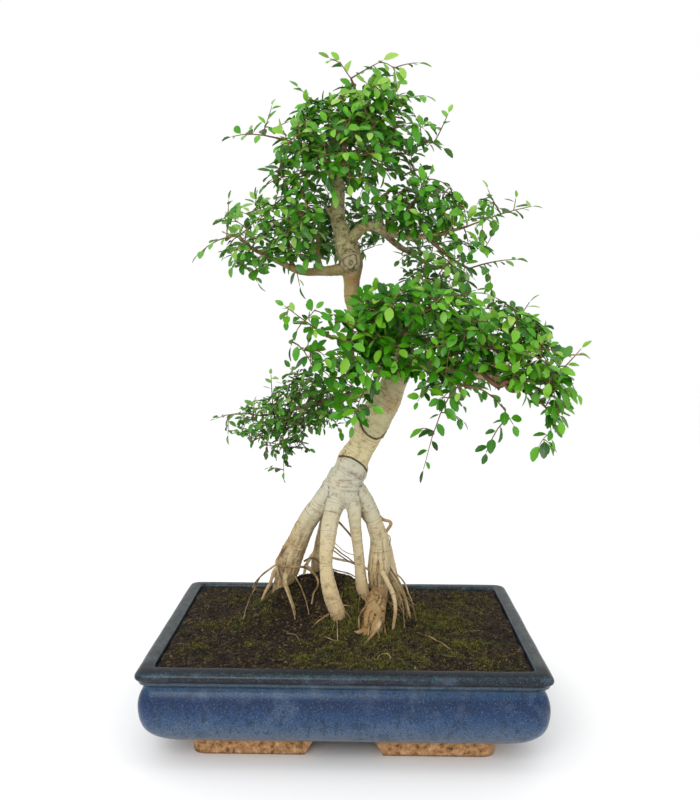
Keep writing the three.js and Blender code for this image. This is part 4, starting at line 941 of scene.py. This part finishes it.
# Foliage: each limb ends in a spray of thin green-brown twigs with alternate leaves. A spray is seated on its
# limb, follows its stem, fills an oval pad with short shoots and sends its longer shoots out to their tips.
# Each is its stem from the seat on, its pad's middle and reach, the mean length of its leaves, and the tips.
SPRAYS = {
    "apex_top": ([[5, 0, 686], [4, -2, 698], [0, -3, 708]], [23, -2, 685], [39, 36, 27], 20,
        [[-12, -5, 725], [-22, -5, 728], [33, -12, 724], [47, -16, 714], [71, -20, 720]]),
    "apex_left": ([[-54, -10, 634], [-68, -13, 639], [-80, -15, 642]], [-58, -8, 639], [28, 36, 28], 17,
        [[-127, -20, 642], [-86, 0, 679], [-106, -14, 650]]),
    "apex_upper_left": ([[-3, 4, 658], [-14, 2, 668], [-28, 0, 674]], [-23, 2, 661], [38, 38, 27], 18,
        [[-57, 6, 700], [-53, -25, 668], [-16, 30, 696]]),
    "apex_right": ([[41, -14, 637], [54, -17, 640], [66, -20, 640]], [59, -12, 651], [29, 38, 19], 18,
        [[99, -15, 633], [104, -24, 667], [85, 16, 640]]),
    "apex_upper_right": ([[1, 2, 672], [16, -3, 676], [34, -8, 678]], [25, -6, 668], [24, 38, 20], 20,
        [[79, -18, 687], [44, -40, 687], [55, 24, 694]]),
    "apex_front": ([[-6, -30, 632], [-5, -42, 630], [-4, -54, 624]], [-2, -50, 617], [44, 22, 42], 18,
        [[0, -58, 588], [-33, -62, 612], [28, -64, 618]]),
    "apex_back": ([[-3, 44, 638], [0, 56, 642], [2, 68, 642]], [4, 62, 636], [54, 32, 39], 18,
        [[10, 100, 627], [-44, 84, 643], [46, 84, 645]]),
    "apex_low_left": ([[-26, 3, 621], [-40, 4, 612], [-54, 2, 604]], [-56, 2, 608], [35, 36, 29], 18,
        [[-92, -15, 591], [-76, -8, 615], [-68, 34, 592]]),
    "apex_low_right": ([[13, -4, 632], [24, -2, 620], [38, -4, 612]], [46, -6, 625], [34, 34, 20], 18,
        [[65, -15, 595], [84, 10, 616]]),
    "midleft_outer": ([[-99, -24, 520], [-110, -26, 527], [-118, -28, 536]], [-104, -20, 538], [33, 38, 42],
        17,
        [[-161, -30, 517], [-130, -24, 574], [-135, -34, 554], [-126, -20, 505], [-100, -18, 488],
            [-118, 22, 540]]),
    "midleft_inner": ([[-62, -12, 503], [-66, -14, 520], [-66, -12, 540]], [-67, -10, 545], [34, 40, 38], 17,
        [[-101, -10, 576], [-72, 8, 584], [-54, -14, 484], [-48, -52, 550]]),
    "midleft_back": ([[-33, 33, 560], [-36, 42, 570], [-42, 50, 574]], [-46, 50, 559], [30, 32, 46], 15,
        [[-74, 62, 581], [-57, 92, 551], [-20, 72, 521]]),
    "midright_outer": ([[97, -26, 540], [112, -29, 544], [126, -30, 548]], [131, -24, 548], [38, 36, 31], 18,
        [[193, -36, 569], [177, -30, 578], [148, -24, 588], [160, 18, 561]]),
    "midright_upper": ([[56, -12, 540], [60, -14, 556], [66, -16, 572]], [73, -12, 569], [44, 40, 31], 18,
        [[46, -20, 588], [85, -22, 602], [110, -26, 587], [20, -30, 562], [78, 34, 582]]),
    "midright_low": ([[82, -22, 538], [96, -24, 526], [114, -22, 512], [130, -20, 504]], [99, -16, 495],
        [29, 34, 33], 17,
        [[179, -25, 514], [154, -28, 483], [154, -32, 465]]),
    "midright_back": ([[94, 58, 511], [104, 63, 510], [114, 66, 508]], [96, 58, 516], [40, 34, 41], 15,
        [[61, 34, 487], [86, 44, 480], [144, 76, 501]]),
    "mid_back": ([[-12, 64, 568], [-12, 76, 571], [-8, 88, 572]], [-7, 84, 557], [50, 32, 36], 16,
        [[-5, 126, 559], [46, 102, 578], [-58, 98, 548]]),
    "front_outer": ([[175, -94, 388], [188, -97, 388], [202, -99, 386]], [189, -94, 404], [32, 36, 32], 19,
        [[233, -104, 421], [231, -100, 376], [207, -112, 400], [211, -62, 400]]),
    "front_hanging": ([[162, -89, 389], [182, -96, 378], [200, -100, 362]], [211, -98, 368], [10, 22, 28],
        21,
        [[208, -98, 330], [195, -102, 324], [203, -104, 326]]),
    "front_right_upper": ([[146, -82, 390], [152, -83, 408], [158, -84, 430]], [153, -80, 438],
        [50, 38, 25], 19,
        [[183, -90, 467], [189, -96, 447], [146, -80, 474], [168, -44, 436]]),
    "front_middle": ([[116, -60, 396], [114, -66, 410], [110, -68, 426]], [111, -68, 419], [42, 38, 40], 19,
        [[118, -104, 418], [79, -100, 419]]),
    "front_upper": ([[80, -56, 456], [90, -60, 462], [100, -62, 468]], [74, -54, 464], [62, 38, 19], 19,
        [[131, -70, 479], [50, -62, 482], [88, -94, 465]]),
    "front_left": ([[0, -54, 426], [-10, -60, 428], [-22, -64, 430]], [-9, -60, 421], [38, 28, 42], 19,
        [[-65, -80, 461], [-63, -78, 447], [-59, -70, 420], [-34, -70, 458]]),
    "front_centre": ([[19, -34, 430], [26, -44, 418], [36, -52, 406]], [20, -50, 376], [36, 30, 46], 19,
        [[-26, -82, 404], [32, -88, 387]]),
    "front_low": ([[92, -40, 399], [100, -58, 388], [114, -76, 382], [130, -86, 380]], [97, -74, 378],
        [44, 26, 23], 19,
        [[79, -92, 296], [168, -100, 344], [142, -98, 315], [118, -92, 346], [77, -70, 335]]),
    "lowleft_outer": ([[-81, 76, 335], [-94, 79, 332], [-108, 82, 330]], [-107, 78, 325], [28, 36, 26], 14,
        [[-163, 90, 325], [-147, 80, 307], [-93, 64, 381], [-126, 96, 302]]),
    "lowleft_inner": ([[-44, 66, 346], [-48, 66, 356], [-56, 64, 368]], [-52, 62, 350], [40, 38, 39], 14,
        [[-69, 52, 390], [-10, 30, 319], [-20, 96, 369]]),
    "lowleft_hanging": ([[-66, 73, 340], [-74, 78, 326], [-80, 82, 308]], [-82, 80, 305], [30, 32, 23], 14,
        [[-79, 84, 254], [-98, 90, 264], [-48, 72, 291], [-62, 44, 310]]),
    "back": ([[71, 84, 450], [74, 94, 454], [76, 106, 456]], [85, 98, 448], [52, 36, 35], 18,
        [[76, 132, 438], [21, 120, 462], [130, 112, 451]]),
    "back_right": ([[128, 60, 402], [138, 64, 404], [150, 68, 406]], [129, 60, 397], [62, 38, 35], 18,
        [[191, 84, 392], [150, 108, 392], [127, 62, 366]]),
}
# How thickly shoots fill the pads: most are middling, and these are crowded or open.
CROWDED = {
    "apex_upper_left", "apex_upper_right", "midleft_back", "midright_upper", "front_outer", "front_hanging",
    "front_right_upper", "front_upper", "front_centre", "lowleft_outer", "lowleft_inner", "lowleft_hanging",
}
OPEN = {
    "apex_back", "apex_low_right", "apex_front", "midright_outer", "midright_back", "front_middle",
    "front_left", "front_low", "back", "back_right",
}
# Two bare pieces on the right: a dead straight twig, and a gnarled spur under the end of the front limb.
BARE_WOOD = [
    ([[150, -88, 404], [168, -98, 412], [200, -102, 414], [237, -105, 415]], [1.3, 1.1, 0.9, 0.6]),
    ([[138, -78, 394], [147, -90, 386], [154, -96, 382], [161, -98, 387], [168, -99, 382], [175, -100, 388],
        [181, -99, 386]], [2.4, 3.2, 2.3, 3.6, 2.2, 3.2, 1.5]),
    ([[158, -97, 386], [163, -102, 379], [170, -103, 378], [174, -101, 384]], [1.8, 2.4, 1.6, 1.4]),
]
# Some sprays fill a second pad: those in front of the bent trunk screen it. Each has its number of shoots.
SECOND_PADS = {
    "front_upper": ([34, -36, 456], [28, 20, 22], 30),
    "front_left": ([24, -54, 434], [26, 18, 26], 30),
    "front_centre": ([50, -52, 408], [24, 20, 24], 28),
    "front_middle": ([84, -50, 410], [30, 20, 34], 22),
    "lowleft_inner": ([-42, 40, 350], [52, 16, 30], 60),
    "back_right": ([110, 40, 420], [60, 24, 40], 40),
    "midleft_inner": ([-50, -22, 545], [26, 14, 40], 14),
    "apex_front": ([-4, -40, 640], [50, 24, 44], 24),
    "front_right_upper": ([150, -70, 420], [52, 26, 34], 26),
}
# Young sprays at the top are lighter, and the shaded low ones on the left are a dull blue green: painted
# shade.
LIGHTER = {
    "apex_top": 0.1, "apex_upper_right": 0.08, "apex_upper_left": 0.06, "apex_left": 0.1,
    "midleft_outer": 0.2, "midleft_inner": 0.1, "midright_outer": 0.14, "midright_low": 0.12,
    "front_outer": 0.14, "front_hanging": 0.1, "front_right_upper": 0.08, "lowleft_outer": 0.1,
}
DULLER = {
    "lowleft_outer": 0.5, "lowleft_inner": 0.4, "lowleft_hanging": 0.5, "midleft_outer": 0.4,
    "midleft_inner": 0.3, "midleft_back": 0.8, "midright_back": 0.6, "midright_low": 0.5, "mid_back": 0.6,
    "back": 0.3, "back_right": 0.3,
}
FIRST_SEED, CANDIDATES = 11, 6
BARE_TRUNK = 392  # no shoot hangs in front of the trunk below this height
BEND_X, BEND_Z, LEAN = 15, 303, 0.487  # the trunk leans right from here, by so much for each mm of height
STRIP_LEFT, STRIP_RIGHT = -17, 26  # from the trunk's middle line to the edges of what stays bare
BARE = 0.16  # share of a shoot that has no leaves
LEAF_SPACING = 0.43  # between leaves, as a share of a leaf's length


def shoots_in(name, reach):
    """Shoots in a pad: a few for each square centimetre of it as seen from the front."""
    per_square = 6.5 if name in CROWDED else 2.3 if name in OPEN else 3.7
    return round(per_square * reach[0] * reach[2] / 100)


def dice(seed):
    """A seeded source of numbers from 0 to 1."""
    state = seed

    def roll():
        nonlocal state
        state = (state * 1664525 + 1013904223) % 4294967296
        return state / 4294967296

    return roll


def nearest(points, to):
    return min(points, key=lambda point: (point - to).length_squared)


def on_arch(arch, share):
    begin, crown, end = arch
    return begin.lerp(crown, share).lerp(crown.lerp(end, share), share)


def shoots_of(stem, pads, tips, seed):
    """Each shoot springs from the nearest wood that is there already and arches to its end."""
    roll = dice(seed)
    twig_wood = []
    for share in (0.4, 0.55, 0.7, 0.85, 1):
        step = share * (len(stem) - 1)
        before = min(int(step), len(stem) - 2)
        twig_wood.append(stem[before].lerp(stem[before + 1], step - before))
    ends = [Vector(tip) for tip in tips]
    for middle, reach in pads:
        best, room = None, -1
        for _ in range(CANDIDATES):
            turn, tall, out = roll() * 2 * math.pi, 2 * roll() - 1, 0.55 + 0.45 * math.sqrt(roll())
            flat = math.sqrt(1 - tall * tall) * out
            off = (flat * math.cos(turn), flat * math.sin(turn), tall * out)
            at = Vector([m + r * o for m, r, o in zip(middle, reach, off)])
            clear = (nearest(ends, at) - at).length
            if clear > room:
                best, room = at, clear
        from_trunk = best.x - BEND_X - (best.z - BEND_Z) * LEAN
        if best.y > 0 or best.z > BARE_TRUNK or not STRIP_LEFT < from_trunk < STRIP_RIGHT:
            ends.append(best)
    arches = []
    for end in ends:
        begin = nearest(twig_wood, end)
        span = end - begin
        crown = begin + Vector((0.55 * span.x, 0.55 * span.y, 0.3 * span.z + 0.13 * span.length))
        arches.append((begin, crown, end))
        twig_wood += [on_arch(arches[-1], share) for share in (0.3, 0.5, 0.7, 0.9)]
    return arches


# One leaf is modelled, 1 long: a stalk, and an oval blade with forward teeth and a drawn-out tip. It is a
# thin lens: its two faces meet in the toothed edge and stand apart along the rib.
LEAF_STEPS = 8
pick()
bpy.ops.mesh.primitive_grid_add(x_subdivisions=LEAF_STEPS, y_subdivisions=2, size=1, location=(0.5, 0, 0))
leaf = bpy.context.object
settle(leaf, "leaf")
for vertex in leaf.data.vertices:
    step = round(vertex.co.x * LEAF_STEPS)
    side = 0 if abs(vertex.co.y) < 0.1 else math.copysign(1, vertex.co.y)
    blade_share = max((step - 1) / (LEAF_STEPS - 1), 0)
    tooth = 1.04 if step % 2 else 0.96
    half = 0.012 if step < 2 else 0.25 * math.sin(math.pi * blade_share**0.92) ** 0.72 * tooth
    vertex.co.x += 0.018 * abs(side) * (step % 2) * (0 < blade_share < 1)
    vertex.co.y = side * half if step < LEAF_STEPS else 0


def on_rib(place):
    """Whether a point of the leaf lies on its rib, between the stalk's foot and the tip."""
    return abs(place[1]) < 0.001 and 0.04 < place[0] < 0.97


bpy.ops.object.mode_set(mode="EDIT")
bpy.ops.mesh.select_all(action="SELECT")
bpy.ops.mesh.duplicate_move()
bpy.ops.mesh.flip_normals()
for vertex in bmesh.from_edit_mesh(leaf.data).verts:
    if vertex.select and on_rib(vertex.co):
        vertex.co.z -= 0.022
bpy.ops.mesh.select_all(action="SELECT")
bpy.ops.mesh.remove_doubles(threshold=0.0005)
bpy.ops.object.mode_set(mode="OBJECT")
leaf_points = np.array([v.co[:] for v in leaf.data.vertices])
on_edge = np.array([not on_rib(point) for point in leaf_points])
is_under = np.array([face.normal.z < 0 for face in leaf.data.polygons])

# Material: a zelkova leaf. The upper face is deep green with a satin cuticle, its rib and eight pairs of side
# veins are paler and sunk, the underside is paler and matt, and light comes through the blade.
green_leaf, tree, shader = start("zelkova_leaf")
# The tone holds each leaf's shade of green with painted light: leaves high and in front in their pad are
# lighter.
tone = add("Attribute", {"attribute_name": "tone"}, out="Fac")
greens = [
    (0, "#0f4402"), (0.25, "#277204"), (0.5, "#48a208"), (0.7, "#6cb91a"), (0.85, "#8cc932"), (1, "#aad45e"),
]
green = add("ValToRGB", {"stops": greens}, {0: tone})
muted = add("ValToRGB", {"stops": [(0, "#2a561e"), (0.5, "#5a8e40"), (1, "#9cc07c")]}, {0: tone})
# Shaded sprays are mixed towards a muted green: painted shade.
dull = add("Attribute", {"attribute_name": "dull"}, out="Fac")
dull = add("Math", {"operation": "MULTIPLY", 1: 0.75}, {0: dull})
green = add("Mix", {"data_type": "RGBA"}, {0: dull, 6: green, 7: muted}, out=2)
blade = add("Attribute", {"attribute_name": "blade"}, out="Vector")
ahead, aside, _ = add("SeparateXYZ", links={0: blade}, out=None)
aside = add("Math", {"operation": "ABSOLUTE"}, {0: aside})
rib = add("MapRange", {"From Min": 0.022, "From Max": 0.006, "To Max": 0.3}, {0: aside})
slant = add("Math", {"operation": "MULTIPLY_ADD", 1: -0.55}, {0: aside, 2: ahead})
veins = add("Math", {"operation": "PINGPONG", 1: 0.05}, {0: slant})
vein = add("MapRange", {"From Min": 0.008, "From Max": 0.0, "To Max": 0.16}, {0: veins})
lines = add("Math", {"operation": "MAXIMUM"}, {0: rib, 1: vein})
green = add("Mix", {"data_type": "RGBA", 7: "#a3c45c"}, {0: lines, 6: green}, out=2)
under = add("Attribute", {"attribute_name": "under"}, out="Fac")
green = layered(green, "#84a066", under, 0.0, 1.0, 0.35)
satin = add("MapRange", {"To Min": 0.3, "To Max": 0.7}, {0: under})
quilted = add("Bump", {"Strength": 0.4, "Distance": 0.25 * MM}, {"Height": veins})
fill(shader, {"Specular IOR Level": 0.55}, {"Base Color": green, "Roughness": satin, "Normal": quilted})
through = add("Mix", {"data_type": "RGBA", 0: 0.5, 7: "#86c412"}, {6: green}, out=2)
glow = add("BsdfTranslucent", links={"Color": through})
lit = add("MixShader", {0: 0.34}, {1: shader.outputs[0], 2: glow})
fill(tree.nodes["Material Output"], {}, {"Surface": lit})

# Material: the thin bark of young twigs, brown and slightly shiny, grey green where it is oldest.
twig_skin, tree, shader = start("young_twig_bark")
stretch = add("TexNoise", {"Scale": 60.0, "Detail": 4.0}, {"Vector": add("TexCoord", out="Object")})
browns = [(0.3, "#4a321c"), (0.5, "#6b4a2a"), (0.62, "#86653c"), (0.75, "#8f8a50")]
fill(shader, {"Roughness": 0.6}, {"Base Color": add("ValToRGB", {"stops": browns}, {0: stretch})})

for number, (name, (stem, middle, reach, leaf_length, tips)) in enumerate(SPRAYS.items()):
    stem = [Vector(p) for p in stem]
    pads = [(middle, reach)] * shoots_in(name, reach)
    if name in SECOND_PADS:
        *second, count = SECOND_PADS[name]
        pads += [second] * count
    arches = shoots_of(stem, pads, tips, FIRST_SEED + number)
    draw = np.random.default_rng(100 + number)
    stem.insert(0, stem[0] - (stem[1] - stem[0]).normalized() * 4)
    routes = [([list(p) for p in stem], [1.7] + [2.2 - i / (len(stem) - 2) for i in range(len(stem) - 1)])]
    for arch in arches:
        thick = 0.95 if (arch[2] - arch[0]).length > 30 else 0.7
        routes.append(([list(p) for p in arch], [thick, 0.38]))
    routes += BARE_WOOD if name == "front_outer" else []
    twigs = grown("twigs_" + name, routes, rings=4, roundness=0)
    shapes, tones = [], []
    for arch in arches:
        length = (arch[1] - arch[0]).length + (arch[2] - arch[1]).length
        count = max(2, round(length * (1 - BARE) / (LEAF_SPACING * leaf_length)))
        for k in range(count + 1):
            # Leaves stand left and right in turn and face the light. The last is at the shoot's tip.
            side = 0 if k == count else -1 if k % 2 else 1
            share = BARE + (1 - BARE) * (k + 0.3) / count if side else 1
            at = on_arch(arch, share)
            ahead = (on_arch(arch, min(share + 0.02, 1)) - on_arch(arch, share - 0.02)).normalized()
            away = Vector((at.x, at.y, 0)).normalized()
            light = (Vector((0, -0.3, 1)) + away * 0.45 + Vector(draw.normal(0, 0.34, 3))).normalized()
            right = ahead.cross(light).normalized()
            splay = side * draw.uniform(0.75, 1.25)
            forward = ahead * math.cos(splay) + right * math.sin(splay)
            forward.z -= draw.uniform(-0.15, 0.35)
            forward.normalize()
            face = light + right * draw.uniform(-0.5, 0.5)
            face = (face - forward * face.dot(forward)).normalized()
            across = face.cross(forward)
            size = leaf_length * draw.uniform(0.62, 1.12) * (0.85 if share > 0.85 else 1)
            fold, arch_down, twist = draw.uniform(0.08, 0.5), draw.uniform(0.02, 0.3), draw.uniform(-0.3, 0.3)
            x, y, z = leaf_points.T
            lift = z + fold * np.abs(y) - arch_down * x * x + twist * x * y
            frame_of_leaf = np.array([forward, across, face])
            shapes.append(np.column_stack([x, y, lift]) @ frame_of_leaf * size + np.array(at))
            # Leaves near the tips are lighter. Leaves at the top and the front of a pad are lighter with
            # painted light, and those low and behind darker with painted shade.
            depth, high = (middle[1] - at.y) / reach[1], (at.z - middle[2]) / reach[2]
            young = (0.14 if share > 0.8 else 0) + LIGHTER.get(name, 0)
            tones.append(0.41 + 0.1 * high + 0.06 * depth + young + draw.normal(0, 0.2))
    leaves = copies("leaves_" + name, leaf, np.array(shapes) * MM + (POT_X, 0, 0))
    count, size = len(shapes), len(leaf_points)
    mark(leaves, "tone", np.repeat(np.clip(tones, 0.02, 1), size))
    mark(leaves, "dull", np.full(count * size, DULLER.get(name, 0)))
    mark(leaves, "under", np.tile(is_under, count), "FACE")
    along_and_aside = leaves.data.attributes.new("blade", "FLOAT_VECTOR", "POINT")
    along_and_aside.data.foreach_set("vector", np.tile(leaf_points, (count, 1)).astype(np.float32).ravel())
    for piece in (leaves, twigs):
        pick(piece)
        bpy.ops.object.shade_smooth()
    # The two faces of a blade meet in a sharp edge.
    ends = np.empty(len(leaves.data.edges) * 2, dtype=np.int32)
    leaves.data.edges.foreach_get("vertices", ends)
    rim = np.tile(on_edge, count)[ends].reshape(-1, 2).all(axis=1)
    leaves.data.attributes.new("sharp_edge", "BOOLEAN", "EDGE").data.foreach_set("value", rim)
    leaves.data.materials.append(green_leaf)
    twigs.data.materials.append(twig_skin)
    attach(leaves, "root")
    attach(twigs, "root")
    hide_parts("spray_" + name)
    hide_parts("spray_" + name)
bpy.data.objects.remove(leaf)

# Studio: a plain white floor, and soft light from a white room and two large lamps, one beside the camera and
# one above, as in a catalogue photograph.
pick()
bpy.ops.mesh.primitive_plane_add(size=8, location=(0, 0, -0.0002))
floor = bpy.context.object
floor.name = "studio_floor"
paper, tree, shader = start("white_paper_sweep")
fill(shader, {"Base Color": "#fdfdfd", "Roughness": 0.9}, {})
floor.data.materials.append(paper)
world = bpy.data.worlds.new("studio")
world.use_nodes = True
fill(world.node_tree.nodes["Background"], {"Color": (1, 1, 1, 1), "Strength": 1.0}, {})
bpy.context.scene.world = world
for name, place, size, power in (("key", (-0.5, -1.8, 1.4), 1.1, 17), ("top", (0.1, -0.1, 2.2), 1.2, 4)):
    lamp_data = bpy.data.lights.new(name, "AREA")
    lamp_data.size = size
    lamp_data.energy = power
    lamp = bpy.data.objects.new(name, lamp_data)
    lamp.location = place
    lamp.rotation_euler = (Vector((0, 0, 0.35)) - Vector(place)).to_track_quat("-Z", "Y").to_euler()
    bpy.context.scene.collection.objects.link(lamp)
bpy.context.scene.view_settings.view_transform = "Standard"
